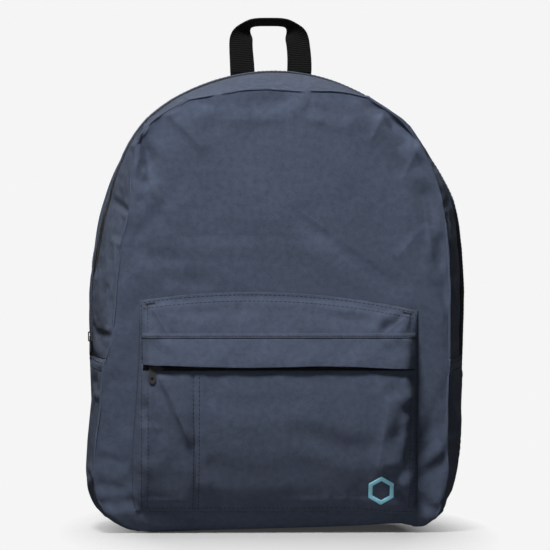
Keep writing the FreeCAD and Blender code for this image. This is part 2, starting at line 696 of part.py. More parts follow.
def ladder_locks():
    at_lock, lean, slant = lock_placement()
    bar, half_t = lock_bar / 2, lock_thick / 2
    low_bar = -(lock_slot_low + lock_bar)
    top_bar = lock_slot_top + lock_bar
    wrap = bar + lock_clearance + strap_webbing_thick / 2

    cheek_x = lock_width / 2 - lock_cheek
    frame = box(-lock_width / 2, lock_width / 2, -half_t, half_t, low_bar - bar, top_bar + bar)
    frame = frame.cut(box(-cheek_x, cheek_x, -big, big, -big, big))
    bars = [Part.makeCylinder(bar, lock_width - 2, V(-lock_width / 2 + 1, 0, s), V(1, 0, 0))
            for s in (low_bar, 0.0, top_bar)]
    lip = box(-cheek_x + 1.5, cheek_x - 1.5, 0.2, 1.4, low_bar - lock_lip, low_bar)
    add_pair("ladder_lock", placed(frame.fuse(bars + [lip]).removeSplitter(), at_lock))

    # loop from the pad's end round the top bar
    loop_path = arc_points((0.0, top_bar), wrap, 0, -180, 9)
    rise = pad_low - lock_height - top_bar + 4.0
    loop_path = [(wrap, top_bar + rise)] + loop_path + [(-wrap, top_bar + rise)]
    loop = placed(ribbon(loop_path, strap_webbing, strap_webbing_thick), at_lock)
    pad_whole = pad_outline(strap_binding).common(strap_band(0.0, pad_thick)).common(
        box(0, big, 0, big, pad_low, pad_top))
    add_pair("strap_loop", loop.cut(pad_whole))

    # lower webbing: up behind the lock, over the middle bar, down behind the lower bar
    cross = math.degrees(math.asin(2 * wrap / -low_bar))
    behind = -(wrap + strap_webbing_thick + 2 * lock_clearance)
    tail_bend = low_bar - lock_lip - lip_clearance
    to_lock = at_lock.inverse()
    lies_on = y_back + tab_thick + strap_webbing_thick / 2
    foot = to_lock.multVec(V(anchor_x_low, lies_on, strap_low - 6))
    knee = to_lock.multVec(V(anchor_x_low, lies_on + 0.5, strap_low + 10))
    path = [(foot.y, foot.z), (knee.y, knee.z), (behind, tail_bend - 1.0), (behind, low_bar + 2.0)]
    path += arc_points((0.0, 0.0), wrap, 180, -cross, 11)
    path += arc_points((0.0, low_bar), wrap, 180 - cross, 180, 4)
    path += [(-wrap, tail_bend)]
    whole = placed(ribbon(path, strap_webbing, strap_webbing_thick), at_lock)
    cut_at = swing_low - swing_axis * strap_foot
    moving_side = half_space(cut_at - swing_axis * (swing_gap / 2), swing_axis, -1)
    add_pair("strap_webbing", whole.common(moving_side))
    tab = wing_tab()
    add_pair("wing_tab", tab)
    fixed = whole.common(half_space(cut_at + swing_axis * (swing_gap / 2), swing_axis, 1))
    add_pair("strap_foot", fixed.cut(tab).common(slab_y(y_back + tab_thick, y_back + 60)))

    # the free tail hangs from behind the lower bar and turns about the bar's direction
    across = at_lock.Rotation.multVec(V(1, 0, 0))
    up = V(0, 0, 1) - across * across.z
    up.normalize()
    tail_top = at_lock.multVec(V(0, -wrap, tail_bend - swing_gap - strap_webbing_thick / 2))
    hang = frame_placement(tail_top, across, up.cross(across), up)
    tail = ribbon([(0.0, 0.0), (0.0, -tail_length)], strap_webbing, strap_webbing_thick)
    hem = box(-strap_webbing / 2, strap_webbing / 2, strap_webbing_thick / 2,
              3 * strap_webbing_thick / 2, -tail_length, -tail_length + 14)
    bend = Part.makeCylinder(strap_webbing_thick / 2, strap_webbing,
                             V(-strap_webbing / 2, 0, 0), V(1, 0, 0))
    add_pair("strap_tail", placed(tail.fuse([hem, bend]).removeSplitter(), hang))
    places["right tail hinge"] = tail_top
    print("right tail axis", across)
    places["right strap swing"] = swing_top
    print("strap swing axis", swing_axis)


main_compartment()
main_zip()
front_pocket()
sliders()
emblem()
grab_handle()
shoulder_straps()
ladder_locks()

front_most = pocket_y(flap_edge) - flap_stand_off - fabric
back_most = y_back + yoke + strap_bow + pad_thick
centring = V(0, -(front_most + back_most) / 2, 0)

os.makedirs("parts", exist_ok=True)
for name, shape in nodes.items():
    shape.translate(centring)
    shape.exportStep(f"parts/{name}.step")
    if not shape.Solids or not shape.isValid():
        print("PROBLEM", name, len(shape.Solids), shape.isValid())
    b = shape.optimalBoundingBox()
    print(f"{name:28s} n {len(shape.Solids)} cc {shape.Volume / 1000:8.2f} x {b.XMin:7.1f} {b.XMax:7.1f} "
          f"y {b.YMin:7.1f} {b.YMax:7.1f} z {b.ZMin:7.1f} {b.ZMax:7.1f}")
places["fold hinge"] = V(0, crown_y(fold_height), fold_height)
for name, at in places.items():
    at = at + centring
    print(f"{name}: {at.x:.3f} {at.y:.3f} {at.z:.3f}")
print(len(nodes), "nodes, moved", centring)
for z in (30, 50, 60, 100, 130):
    print(z, "crown", crown_y(z) + centring.y, "pocket", pocket_y(z) + centring.y)
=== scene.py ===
# %% [markdown]
# # A school backpack in soft oxford cloth
# The bag is sewn from flat panels: a domed front, strips on both sides of a zip that runs over the top,
# a gusset round the base, and a padded back. A filled bag holds its shape by the tension in its seams,
# so the whole outer shell is first blown up gently as one closed cloth, and then cut into its panels.
# Everything below works in millimetres and is turned into metres only when a mesh is made.

# %% Start from the fixed frame
import json
import math

import bpy
import numpy as np
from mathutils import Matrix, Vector
from mathutils.bvhtree import BVHTree

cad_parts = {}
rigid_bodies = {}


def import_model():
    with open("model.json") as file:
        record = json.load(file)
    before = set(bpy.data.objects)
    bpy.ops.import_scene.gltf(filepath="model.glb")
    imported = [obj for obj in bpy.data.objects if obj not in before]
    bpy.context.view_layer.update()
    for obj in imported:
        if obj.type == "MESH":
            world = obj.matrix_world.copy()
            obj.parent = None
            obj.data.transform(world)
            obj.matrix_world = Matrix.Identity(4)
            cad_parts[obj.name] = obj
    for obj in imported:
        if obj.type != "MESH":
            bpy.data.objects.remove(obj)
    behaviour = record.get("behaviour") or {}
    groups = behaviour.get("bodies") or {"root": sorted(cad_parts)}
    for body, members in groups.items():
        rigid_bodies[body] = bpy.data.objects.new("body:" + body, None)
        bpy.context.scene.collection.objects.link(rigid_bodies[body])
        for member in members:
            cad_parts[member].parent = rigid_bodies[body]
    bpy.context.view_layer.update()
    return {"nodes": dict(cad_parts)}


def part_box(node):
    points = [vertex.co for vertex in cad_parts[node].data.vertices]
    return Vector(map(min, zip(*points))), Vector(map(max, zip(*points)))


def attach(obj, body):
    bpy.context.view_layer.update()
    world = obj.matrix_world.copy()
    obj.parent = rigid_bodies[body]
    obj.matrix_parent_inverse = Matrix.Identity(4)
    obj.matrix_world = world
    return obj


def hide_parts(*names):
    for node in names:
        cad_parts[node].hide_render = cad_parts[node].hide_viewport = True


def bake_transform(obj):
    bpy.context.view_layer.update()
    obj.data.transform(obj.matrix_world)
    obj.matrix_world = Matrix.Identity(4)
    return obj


for extra in list(bpy.data.objects):
    bpy.data.objects.remove(extra, do_unlink=True)
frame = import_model()
MM = 0.001


def node_box(node):
    """Lowest and highest corner of a part of the frame, in millimetres."""
    low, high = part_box(node)
    return np.array(low) / MM, np.array(high) / MM


# %% [markdown]
# ## Sizes
# The bag's main lines are read from the frame: where the back is, where the zip runs, how wide and tall
# the body is. The two fullest curves, of the front and of the pocket, are arcs through three points, and
# the same arcs shape the hidden solids, so the cloth lies on them.

# %% Main lines of the bag
back_y = node_box("back_panel")[1][1]
zip_back_y = node_box("rear_zip_strip")[0][1]
zip_front_y = node_box("front_zip_strip")[1][1]
half_width = node_box("rear_zip_strip")[1][0]
top_z = node_box("rear_zip_strip")[1][2]
side_seam_z = node_box("lower_gusset")[1][2]
corner_radius = 55.0
arch_z = top_z - half_width
front_inset = 17.0


def smooth_step(a, b, x):
    t = np.clip((x - a) / (b - a), 0, 1)
    return t * t * (3 - 2 * t)


def bell(x, centre, width):
    return np.exp(-(((x - centre) / width) ** 2))


def circle_through(a, b, c):
    """Centre and radius of the circle through three (y, z) points."""
    (ax, ay), (bx, by), (cx, cy) = a, b, c
    d = 2 * (ax * (by - cy) + bx * (cy - ay) + cx * (ay - by))
    aa, bb, cc = ax * ax + ay * ay, bx * bx + by * by, cx * cx + cy * cy
    u = (aa * (by - cy) + bb * (cy - ay) + cc * (ay - by)) / d
    v = (aa * (cx - bx) + bb * (ax - cx) + cc * (bx - ax)) / d
    return u, v, math.hypot(ax - u, ay - v)


mid_y = back_y - 57.5
crown = circle_through((mid_y - 55, 0), (mid_y - 70, 175), (mid_y - 50, top_z - front_inset))


def arc_y(arc, z):
    """Depth of an arc's front at height z."""
    return arc[0] - np.sqrt(arc[2] ** 2 - (z - arc[1]) ** 2)


print("zip from y", round(zip_front_y, 1), "to", round(zip_back_y, 1), "body", round(2 * half_width, 1), "wide")

# %% [markdown]
# ## The ring
# Seen from the front, every seam that runs round the bag has the same shape: a flat base, two round
# corners, straight sides and a half-round top. One ring of points follows it. Its points are shared out so
# that four of them are the corners of a patch, and two of them lie on the side seams at the zip's ends.

# %% Ring of points round the bag
ACROSS = 60
LOW_SIDE, HIGH_SIDE = 26, 40
UPWARD = LOW_SIDE + HIGH_SIDE
RING = 2 * (ACROSS + UPWARD)


def arc_points(cx, cz, r, a0, a1, count=60):
    a = np.radians(np.linspace(a0, a1, count))
    return np.stack([cx + r * np.cos(a), cz + r * np.sin(a)], 1)


def resample(points, cells):
    """Evenly spaced points on a polyline."""
    points = np.asarray(points, float)
    run = np.concatenate([[0], np.cumsum(np.linalg.norm(np.diff(points, axis=0), axis=1))])
    at = np.linspace(0, run[-1], cells + 1)
    return np.stack([np.interp(at, run, points[:, k]) for k in range(points.shape[1])], 1)


def ring(inset):
    """(x, z) points from the lower left corner, along the base, up the right side and round."""
    hw, r = half_width - inset, corner_radius
    right_low = np.vstack([arc_points(hw - r, r, r, -45, 0), [[hw, side_seam_z]]])
    right_high = np.vstack([[[hw, side_seam_z]], arc_points(0, arch_z, hw, 0, 45)])
    base = np.vstack([arc_points(-hw + r, r, r, 225, 270), arc_points(hw - r, r, r, 270, 315)])
    flip = np.array([-1, 1])
    runs = [
        (base, ACROSS), (right_low, LOW_SIDE), (right_high, HIGH_SIDE),
        (arc_points(0, arch_z, hw, 45, 135), ACROSS),
        ((right_high * flip)[::-1], HIGH_SIDE), ((right_low * flip)[::-1], LOW_SIDE),
    ]
    return np.vstack([resample(p, k)[:-1] for p, k in runs])


ring_wide, ring_narrow = ring(0.0), ring(front_inset)


def ring_at(y, inset):
    """Ring points in space; y and inset are one number or one per point."""
    share = np.broadcast_to(np.asarray(inset, float) / front_inset, (RING,))[:, None]
    xz = ring_wide + (ring_narrow - ring_wide) * share
    return np.stack([xz[:, 0], np.broadcast_to(y, (RING,)), xz[:, 1]], 1)


# how far the front seam lies inside the outline: round the ring, and almost at the edge on the shoulders
seam_at = [0, 30, 58, 64, 72, 86, 100, 112, 119, 126, 136, 144, 150, 156, 163, 169, 175, 186, 190, 194, 197, 200,
           206, 214, 222, 227, 232, 244, 252]
seam_in = [5, 8, 5, 11, 17, 18, 18.5, 15.5, 8, 4.5, 4.5, 12, 19, 18, 15.5, 15, 8, 4.5, 6, 13, 19, 25,
           22.5, 23, 21, 12, 7.5, 5.5, 5]
seam_inset = np.interp(np.arange(RING), seam_at, seam_in)
front_seam = ring_at(0.0, seam_inset)
front_seam[:, 1] = arc_y(crown, front_seam[:, 2])
run = np.linalg.norm(np.diff(np.vstack([ring_wide, ring_wide[:1]]), axis=0), axis=1)
ring_run = np.concatenate([[0], np.cumsum(run)])
print("ring of", RING, "points,", round(ring_run[-1]), "mm round")

# %% [markdown]
# ## Patches
# The front is a Coons patch: a grid that is stretched between four boundary curves, here the four stretches
# of the ring. Strips are simpler: the ring again and again at growing depth. Grids are kept as arrays, so
# that they can be refined smoothly and pressed into seams later.

# %% Grids for the front, the sides and the back
FRONT_ROWS, ZIP_ROWS, REAR_ROWS = 14, 2, 8


def coons(loop, cells=1):
    """Grid of points inside a closed loop of RING * cells points, rows upwards and columns to the right."""
    a, b, c = ACROSS * cells, (ACROSS + UPWARD) * cells, (2 * ACROSS + UPWARD) * cells
    wrapped = np.vstack([loop, loop[:1]])
    bottom, right = wrapped[: a + 1], wrapped[a: b + 1]
    top, left = wrapped[b: c + 1][::-1], wrapped[c:][::-1]
    u = np.linspace(0, 1, a + 1)[None, :, None]
    v = np.linspace(0, 1, b - a + 1)[:, None, None]
    ruled = (1 - v) * bottom[None] + v * top[None] + (1 - u) * left[:, None] + u * right[:, None]
    corners = ((1 - u) * (1 - v) * bottom[0] + u * (1 - v) * bottom[-1]
               + (1 - u) * v * top[0] + u * v * top[-1])
    return ruled - corners


def side_rows():
    """Rows of the ring from the front seam to the back seam."""
    seam_y = front_seam[:, 1]
    zipped = smooth_step(132, 156, ring_wide[:, 1])
    tilt = 1 - 0.55 * smooth_step(250, 330, ring_wide[:, 1])
    tilt = tilt * (1 - 0.8 * smooth_step(150, 158, ring_wide[:, 1]) * smooth_step(235, 216, ring_wide[:, 1])
                    * (ring_wide[:, 0] < 0))
    middle = 3.4 - 0.6 * smooth_step(250, 330, ring_wide[:, 1])
    rows = []
    for t in np.linspace(0, 1, FRONT_ROWS + 1):
        at_zip = 1.2 + (middle + 2.4 * tilt - 1.2) * zipped
        inset = at_zip + (seam_inset - at_zip) * (1 - t) ** 1.7
        rows.append(ring_at(seam_y + (zip_front_y - seam_y) * t, inset))
    for t in (0.5, 1.0):
        inset = 0.9 + zipped * (middle - 0.9 + tilt * (2.4 - 4.8 * t))
        rows.append(ring_at(zip_front_y + (zip_back_y - zip_front_y) * t, inset))
    for t in np.linspace(0, 1, REAR_ROWS + 1)[1:]:
        inset = np.interp(t, [0, 0.3, 0.85, 1], [1.0, 1.5, 3.0, 4.8])
        inset = inset + zipped * max(0.0, 1 - 3 * t) * (middle - 2.4 * tilt - 1.0)
        rows.append(ring_at(zip_back_y + (back_y - zip_back_y) * t, inset))
    return np.stack(rows)


sides = side_rows()
front = coons(front_seam)
front[:, :, 1] = arc_y(crown, front[:, :, 2])
back = coons(sides[-1])
print("front", front.shape, "sides", sides.shape, "back", back.shape)

# %% [markdown]
# ## Mesh helpers
# A grid becomes a mesh with its quads facing outwards and with UVs in metres, which the weave follows.
# Refining is bicubic (Catmull-Rom), so a coarse simulated grid turns into a smooth fine one.


# %% Mesh helpers
def new_object(name, verts, faces, uv=None, smooth=True):
    mesh = bpy.data.meshes.new(name)
    mesh.from_pydata((np.asarray(verts) * MM).tolist(), [], [list(map(int, f)) for f in faces])
    if uv is not None:
        layer = mesh.uv_layers.new(name="UVMap")
        index = np.empty(len(mesh.loops), int)
        mesh.loops.foreach_get("vertex_index", index)
        layer.data.foreach_set("uv", (np.asarray(uv)[index] * MM).ravel())
    if smooth:
        mesh.shade_smooth()
    mesh.update()
    obj = bpy.data.objects.new(name, mesh)
    bpy.context.collection.objects.link(obj)
    return obj


def refine(grid, times, closed=False):
    """Bicubic refinement of a grid of points; closed wraps the columns."""
    for axis in (0, 1):
        g = np.moveaxis(grid, axis, 0)
        wrap = closed and axis == 1
        n = len(g)
        if wrap:
            p = np.concatenate([g[-1:], g, g[:2]])
            cells = n
        else:
            p = np.concatenate([2 * g[:1] - g[1:2], g, 2 * g[-1:] - g[-2:-1]])
            cells = n - 1
        t = np.tile(np.arange(times) / times, cells)
        if not wrap:
            t = np.append(t, 1.0)
        i = np.minimum(np.repeat(np.arange(cells), times), cells - 1)
        if not wrap:
            i = np.append(i, cells - 1)
        t = t.reshape((-1,) + (1,) * (g.ndim - 1))
        a, b, c, d = p[i], p[i + 1], p[i + 2], p[i + 3]
        g = 0.5 * (2 * b + (c - a) * t + (2 * a - 5 * b + 4 * c - d) * t**2
                   + (3 * b - a - 3 * c + d) * t**3)
        grid = np.moveaxis(g, 0, axis)
    return grid


def grid_faces(rows, cols, closed=False, flip=False):
    """Quads of a grid; flip turns them round."""
    i = np.arange(rows - 1)[:, None]
    j = np.arange(cols if closed else cols - 1)[None]
    k = (j + 1) % cols
    f = np.stack([i * cols + j, i * cols + k, (i + 1) * cols + k, (i + 1) * cols + j], -1)
    f = f.reshape(-1, 4)
    return f[:, ::-1] if flip else f


def grid_normals(g):
    du = np.gradient(g, axis=1)
    dv = np.gradient(g, axis=0)
    n = np.cross(du, dv)
    return n / np.maximum(np.linalg.norm(n, axis=2, keepdims=True), 1e-9)


def cloth_mesh(name, grid, uv, thick=1.0, flip=False):
    """A sheet of cloth: a fine outer grid and a coarser inner one, joined all round its rim."""
    sign = -1.0 if flip else 1.0
    normal = grid_normals(grid) * sign
    rows, cols = grid.shape[:2]
    keep_r = np.arange(0, rows, 2) if rows % 2 else np.append(np.arange(0, rows - 1, 2), rows - 1)
    keep_c = np.arange(0, cols, 2) if cols % 2 else np.append(np.arange(0, cols - 1, 2), cols - 1)
    inner = (grid - normal * thick)[np.ix_(keep_r, keep_c)]
    ri, ci = inner.shape[:2]
    outer_faces = grid_faces(rows, cols, flip=flip)
    base = rows * cols
    inner_faces = grid_faces(ri, ci, flip=not flip) + base
    outer_id = np.arange(base).reshape(rows, cols)
    inner_id = np.arange(ri * ci).reshape(ri, ci) + base
    rim = []
    edges = [
        (outer_id[0], inner_id[0], keep_c), (outer_id[:, -1], inner_id[:, -1], keep_r),
        (outer_id[-1][::-1], inner_id[-1][::-1], (cols - 1 - keep_c)[::-1]),
        (outer_id[::-1, 0], inner_id[::-1, 0], (rows - 1 - keep_r)[::-1]),
    ]
    for outer, inside, kept in edges:
        for a, b, s, e in zip(inside[:-1], inside[1:], kept[:-1], kept[1:]):
            face = [a, b] + list(outer[s: e + 1][::-1])
            rim.append(face[::-1] if flip else face)
    verts = np.vstack([grid.reshape(-1, 3), inner.reshape(-1, 3)])
    uvs = np.vstack([uv.reshape(-1, 2), uv[np.ix_(keep_r, keep_c)].reshape(-1, 2)])
    faces = outer_faces.tolist() + inner_faces.tolist() + rim
    return new_object(name, verts, faces, uvs)


# %% [markdown]
# ## Filling the shell
# The front, the sides and the back are welded into one closed cloth. Blender's Cloth blows it up with a
# little pressure. The cloth is cut slightly larger than the shape and its seams slightly shorter, which is
# what puckers a real bag next to its seams. The back and the base are pinned, because the padding and the
# floor hold them, and no point may travel further than a few millimetres.


# %% Blow up a closed cloth
def blow_up(name, verts, faces, pinned, seams, pressure, looser, shorter, cap, frames=18, sag=0.0):
    """Returns the simulated points, in millimetres."""
    obj = new_object(name, verts, faces)
    for group, ids in (("held", pinned), ("seams", seams)):
        g = obj.vertex_groups.new(name=group)
        for i, weight in ids:
            g.add([int(i)], float(weight), "REPLACE")
    mod = obj.modifiers.new("cloth", "CLOTH")
    s = mod.settings
    s.quality = 6
    s.mass = 0.0008
    s.tension_stiffness = s.compression_stiffness = 12
    s.shear_stiffness = 4
    s.bending_stiffness = 0.15
    s.air_damping = 4
    s.use_pressure = True
    s.uniform_pressure_force = pressure
    s.vertex_group_mass = "held"
    s.vertex_group_shrink = "seams"
    s.shrink_min = -looser
    s.shrink_max = shorter
    s.effector_weights.gravity = sag
    mod.collision_settings.use_self_collision = False
    scene = bpy.context.scene
    scene.frame_start, scene.frame_end = 1, frames
    mod.point_cache.frame_start, mod.point_cache.frame_end = 1, frames
    for f in range(1, frames + 1):
        scene.frame_set(f)
    depsgraph = bpy.context.evaluated_depsgraph_get()
    done = obj.evaluated_get(depsgraph)
    co = np.empty(len(done.data.vertices) * 3)
    done.data.vertices.foreach_get("co", co)
    scene.frame_set(1)
    bpy.data.objects.remove(obj, do_unlink=True)
    move = co.reshape(-1, 3) / MM - verts
    length = np.linalg.norm(move, axis=1, keepdims=True)
    limited = cap * np.tanh(length / cap)
    print(name, "moved up to", round(float(length.max()), 2), "mm, mean", round(float(length.mean()), 2))
    return verts + move * (limited / np.maximum(length, 1e-9))


side_count = len(sides)
ids_sides = np.arange(side_count * RING).reshape(side_count, RING)


def patch_ids(start, loop_ids):
    """Point numbers of a patch whose rim is shared with a ring."""
    ids = np.full((UPWARD + 1, ACROSS + 1), -1)
    a, b, c = ACROSS, ACROSS + UPWARD, 2 * ACROSS + UPWARD
    wrapped = np.append(loop_ids, loop_ids[0])
    ids[0], ids[:, -1] = wrapped[: a + 1], wrapped[a: b + 1]
    ids[-1], ids[:, 0] = wrapped[b: c + 1][::-1], wrapped[c:][::-1]
    inside = ids[1:-1, 1:-1]
    inside[...] = start + np.arange(inside.size).reshape(inside.shape)
    return ids, start + inside.size


ids_front, next_id = patch_ids(side_count * RING, ids_sides[0])
ids_back, next_id = patch_ids(next_id, ids_sides[-1])
shell_points = np.zeros((next_id, 3))
shell_points[ids_sides] = sides
shell_points[ids_front[1:-1, 1:-1]] = front[1:-1, 1:-1]
shell_points[ids_back[1:-1, 1:-1]] = back[1:-1, 1:-1]
shell_faces = np.vstack([
    ids_front.ravel()[grid_faces(UPWARD + 1, ACROSS + 1)],
    ids_back.ravel()[grid_faces(UPWARD + 1, ACROSS + 1, flip=True)],
    ids_sides.ravel()[grid_faces(side_count, RING, closed=True, flip=True)],
])
held = {int(i): 1.0 for i in ids_back.ravel()}
for i in np.nonzero(shell_points[:, 2] < 1.5)[0]:
    held[int(i)] = 0.9
for r in range(FRONT_ROWS, FRONT_ROWS + ZIP_ROWS + 1):
    for i in ids_sides[r]:
        held[int(i)] = 1.0
sewn = {int(i): 1.0 for r in (0, FRONT_ROWS, FRONT_ROWS + ZIP_ROWS) for i in ids_sides[r]}
filled = blow_up("shell", shell_points, shell_faces, held.items(), sewn.items(),
                 pressure=0.35, looser=0.035, shorter=0.01, cap=5.0)
filled[:, 2] = np.maximum(filled[:, 2], 0.05)

# %% [markdown]
# ## From the filled shell to wrinkled cloth
# The overall shape is set by the frame, so only the finer part of what the cloth did is kept: its slow swell
# is mostly taken away again. Then come the folds that a used bag has at the ends of its seams. A crease is a
# short valley with a low ridge on each side.


# %% Wrinkles and creases
def blur(g, times, closed=False):
    for _ in range(times):
        p = np.pad(g, ((1, 1), (1, 1)) + ((0, 0),) * (g.ndim - 2), mode="edge")
        if closed:
            p[:, 0], p[:, -1] = p[:, -2], p[:, 1]
        g = (p[:-2, 1:-1] + p[2:, 1:-1] + p[1:-1, :-2] + p[1:-1, 2:] + 2 * p[1:-1, 1:-1]) / 6
    return g


def crease(u, v, line, width, depth):
    """Height of a crease along the polyline, for points (u, v)."""
    best = np.full(u.shape, 1e9)
    side = np.zeros(u.shape)
    for (u0, v0), (u1, v1) in zip(line, line[1:]):
        du, dv = u1 - u0, v1 - v0
        n = math.hypot(du, dv)
        t = np.clip(((u - u0) * du + (v - v0) * dv) / n**2, 0, 1)
        d = np.hypot(u - u0 - t * du, v - v0 - t * dv)
        s = ((u - u0) * dv - (v - v0) * du) / n
        side = np.where(d < best, s, side)
        best = np.minimum(d, best)
    q = best / width
    ridge = 0.45 * np.exp(-((q - 1.9) ** 2)) * (1 + 0.5 * np.tanh(side / width))
    return depth * (ridge - np.exp(-(q**2)))


def pleat(u, v, line, width, depth):
    """A fold with a lit and a shaded flank: high on the line's left side, low on its right."""
    (u0, v0), (u1, v1) = line[0], line[-1]
    du, dv = u1 - u0, v1 - v0
    n = math.hypot(du, dv)
    t = ((u - u0) * du + (v - v0) * dv) / n**2
    s = ((v - v0) * du - (u - u0) * dv) / n / width
    ends = smooth_step(-0.15, 0.25, t) * smooth_step(1.15, 0.7, t)
    return depth * 1.6 * s * np.exp(-(s**2)) * ends


def ridge(u, v, line, width, depth):
    """A sharp fold: steep on the line's right side, wide on its left."""
    (u0, v0), (u1, v1) = line[0], line[-1]
    du, dv = u1 - u0, v1 - v0
    n = math.hypot(du, dv)
    t = ((u - u0) * du + (v - v0) * dv) / n**2
    s = ((v - v0) * du - (u - u0) * dv) / n
    s = np.hypot(s, 0.6) / np.where(s > 0, width, 0.4 * width)
    ends = smooth_step(-0.2, 0.2, t) * smooth_step(1.1, 0.8, t)
    return depth * (np.exp(-s) - 0.35 * np.exp(-((s / 2.2) ** 2))) * ends


wanted = filled - shell_points
front_n, side_n = grid_normals(front), -grid_normals(sides)
front_move = (wanted[ids_front] * front_n).sum(2)
side_move = (wanted[ids_sides] * side_n).sum(2)
front_move = front_move - 0.8 * blur(front_move, 24)
side_move = side_move - 0.8 * blur(side_move, 24, closed=True)
front_move = 0.6 * blur(front_move, 1)
near_zip = np.clip(np.abs(np.arange(len(sides)) - (FRONT_ROWS + 1.0)) / 7.0, 0.15, 1.0)
near_zip[FRONT_ROWS:] = 0.15
side_move = 0.7 * side_move * near_zip[:, None]
print("wrinkles: front", round(float(front_move.std()), 2), "mm, sides", round(float(side_move.std()), 2), "mm")

# how far the real outline stands outside the plain arch, by height, on the left and on the right
LEAN_Z = [0, 8, 25, 43, 77, 112, 150, 182, 205, 218, 251, 286, 321, 356, 373, 385, 400]
LEAN_LEFT = [10, 12, 7.5, 3, 1, -2.5, -1, 0, 0, -1, -6.5, -8.5, -4, 3.5, 4, 2.5, 0]
LEAN_RIGHT = [4, 4, -4, -4, 0, 1, 2.5, 3.5, 4, 3.5, 1.5, 2.5, -0.5, 2, -0.5, -1, 0]


def lean(points):
    """Moves points sideways so that the outline is as uneven as a real bag's."""
    x, y, z = points[..., 0], points[..., 1], points[..., 2]
    out = np.where(x < 0, np.interp(z, LEAN_Z, LEAN_LEFT), np.interp(z, LEAN_Z, LEAN_RIGHT))
    room = np.sqrt(np.maximum(half_width**2 - np.maximum(z - arch_z, 0) ** 2, 900.0))
    share = np.clip(np.abs(x) / room, 0, 1) ** 3 * (1 - 0.75 * smooth_step(40, 57, y))
    moved = points.copy()
    moved[..., 0] += np.sign(x) * out * share
    lift = np.interp(x, [-150, -118, -60, 0, 60, 95, 106, 124, 150], [1, 0, 2, 3.4, 5, 7, 7, 1.5, 2])
    moved[..., 1] += 8.0 * np.clip(1 - z / 20.0, 0, 1) ** 2 * smooth_step(-25, -50, y)
    moved[..., 2] += lift * (0.55 + 0.45 * smooth_step(30, -45, y)) * smooth_step(26, 0, z)
    return moved


EDGE = 4
front_fine = refine(front + front_n * front_move[..., None], EDGE)
sides_fine = refine(sides + side_n * side_move[..., None], EDGE, closed=True)
front_uv = refine(np.stack([front[..., 0], front[..., 2]], 2), EDGE)
fx, fz = front_fine[..., 0], front_fine[..., 2]
folds = [
    ([(22, 273), (60, 248), (100, 217)], 11, 1.6), ([(-83, 257), (-20, 259), (39, 256)], 7, 0.7),
    ([(-96, 220), (-65, 217)], 6, 1.2), ([(84, 369), (99, 352), (109, 338)], 8, 4.0),
    ([(100, 352), (120, 343)], 6, 2.5), ([(-119, 338), (-113, 322), (-116, 304)], 6, 3.6),
    ([(126, 290), (134, 262), (131, 235)], 8, 2.4), ([(141, 250), (137, 222), (143, 200)], 6, 2.0),
    ([(-128, 262), (-108, 240), (-92, 236)], 8, 1.4), ([(-60, 372), (-30, 366), (5, 372)], 7, 1.6),
    ([(30, 366), (55, 360)], 6, 1.2), ([(-136, 130), (-130, 96)], 8, 1.2), ([(-156, 66), (-136, 60)], 5, 1.3),
    ([(-154, 42), (-134, 38)], 5, 1.4), ([(-146, 26), (-126, 28)], 5, 1.6), ([(146, 96), (126, 84)], 7, 1.4),
    ([(143, 60), (124, 48)], 6, 1.6), ([(136, 18), (118, 30)], 6, 2.4), ([(-100, 11), (0, 9), (100, 12)], 5, 1.0),
]
height = sum(crease(fx, fz, line, w, d) for line, w, d in folds)
rim_u = np.minimum(np.arange(front_fine.shape[1]), np.arange(front_fine.shape[1])[::-1])
rim_v = np.minimum(np.arange(front_fine.shape[0]), np.arange(front_fine.shape[0])[::-1])
rim = np.minimum(rim_u[None, :], rim_v[:, None])
inside = smooth_step(0, 8, rim)
height += sum(pleat(fx, fz, line, w, d) for line, w, d in [
    ([(112, 343), (84, 366)], 8, 3.2), ([(-121, 312), (-117, 336)], 6, 2.8), ([(-112, 335), (-92, 300)], 12, 2.2),
    ([(-100, 372), (-78, 340)], 14, 2.0), ([(134, 290), (124, 232)], 9, 2.2), ([(22, 276), (104, 214)], 9, 1.0),
    ([(-62, 376), (-40, 350)], 12, 1.4), ([(-126, 250), (-104, 236)], 8, 1.4), ([(100, 330), (128, 318)], 9, 1.6),
    ([(-150, 60), (-130, 50)], 5, 1.0), ([(140, 80), (122, 60)], 7, 1.4), ([(-140, 150), (-132, 60)], 12, 1.6),
])
height += sum(ridge(fx, fz, line, w, d) for line, w, d in [
    ([(128, 300), (112, 342)], 7, 4.0), ([(-116, 306), (-119, 336)], 7, 4.0), ([(-118, 338), (-96, 366)], 7, 2.4),
    ([(20, 275), (100, 218)], 8, 2.0), ([(-119, 312), (-95, 268)], 11, 5.0), ([(-95, 362), (-62, 326)], 11, 4.5),
    ([(-38, 366), (-29, 338)], 9, 3.2), ([(92, 367), (78, 334)], 10, 4.5), ([(120, 330), (104, 300)], 10, 3.0),
    ([(122, 262), (100, 236)], 12, 2.6), ([(-108, 250), (-122, 300)], 14, 3.0), ([(-60, 352), (-66, 376)], 8, 1.2),
    ([(-84, 258), (24, 258)], 5, 0.9), ([(132, 232), (126, 286)], 9, 3.4), ([(30, 372), (36, 350)], 9, 1.8),
])
height = height * inside - 0.5 * np.exp(-((rim / 1.8) ** 2)) + 0.25 * np.exp(-(((rim - 7) / 5.0) ** 2))
front_fine = lean(front_fine + grid_normals(front_fine) * height[..., None])
sides_fine = lean(sides_fine)
for g in (front_fine, sides_fine):
    g[..., 2] = np.maximum(g[..., 2], 0.05)
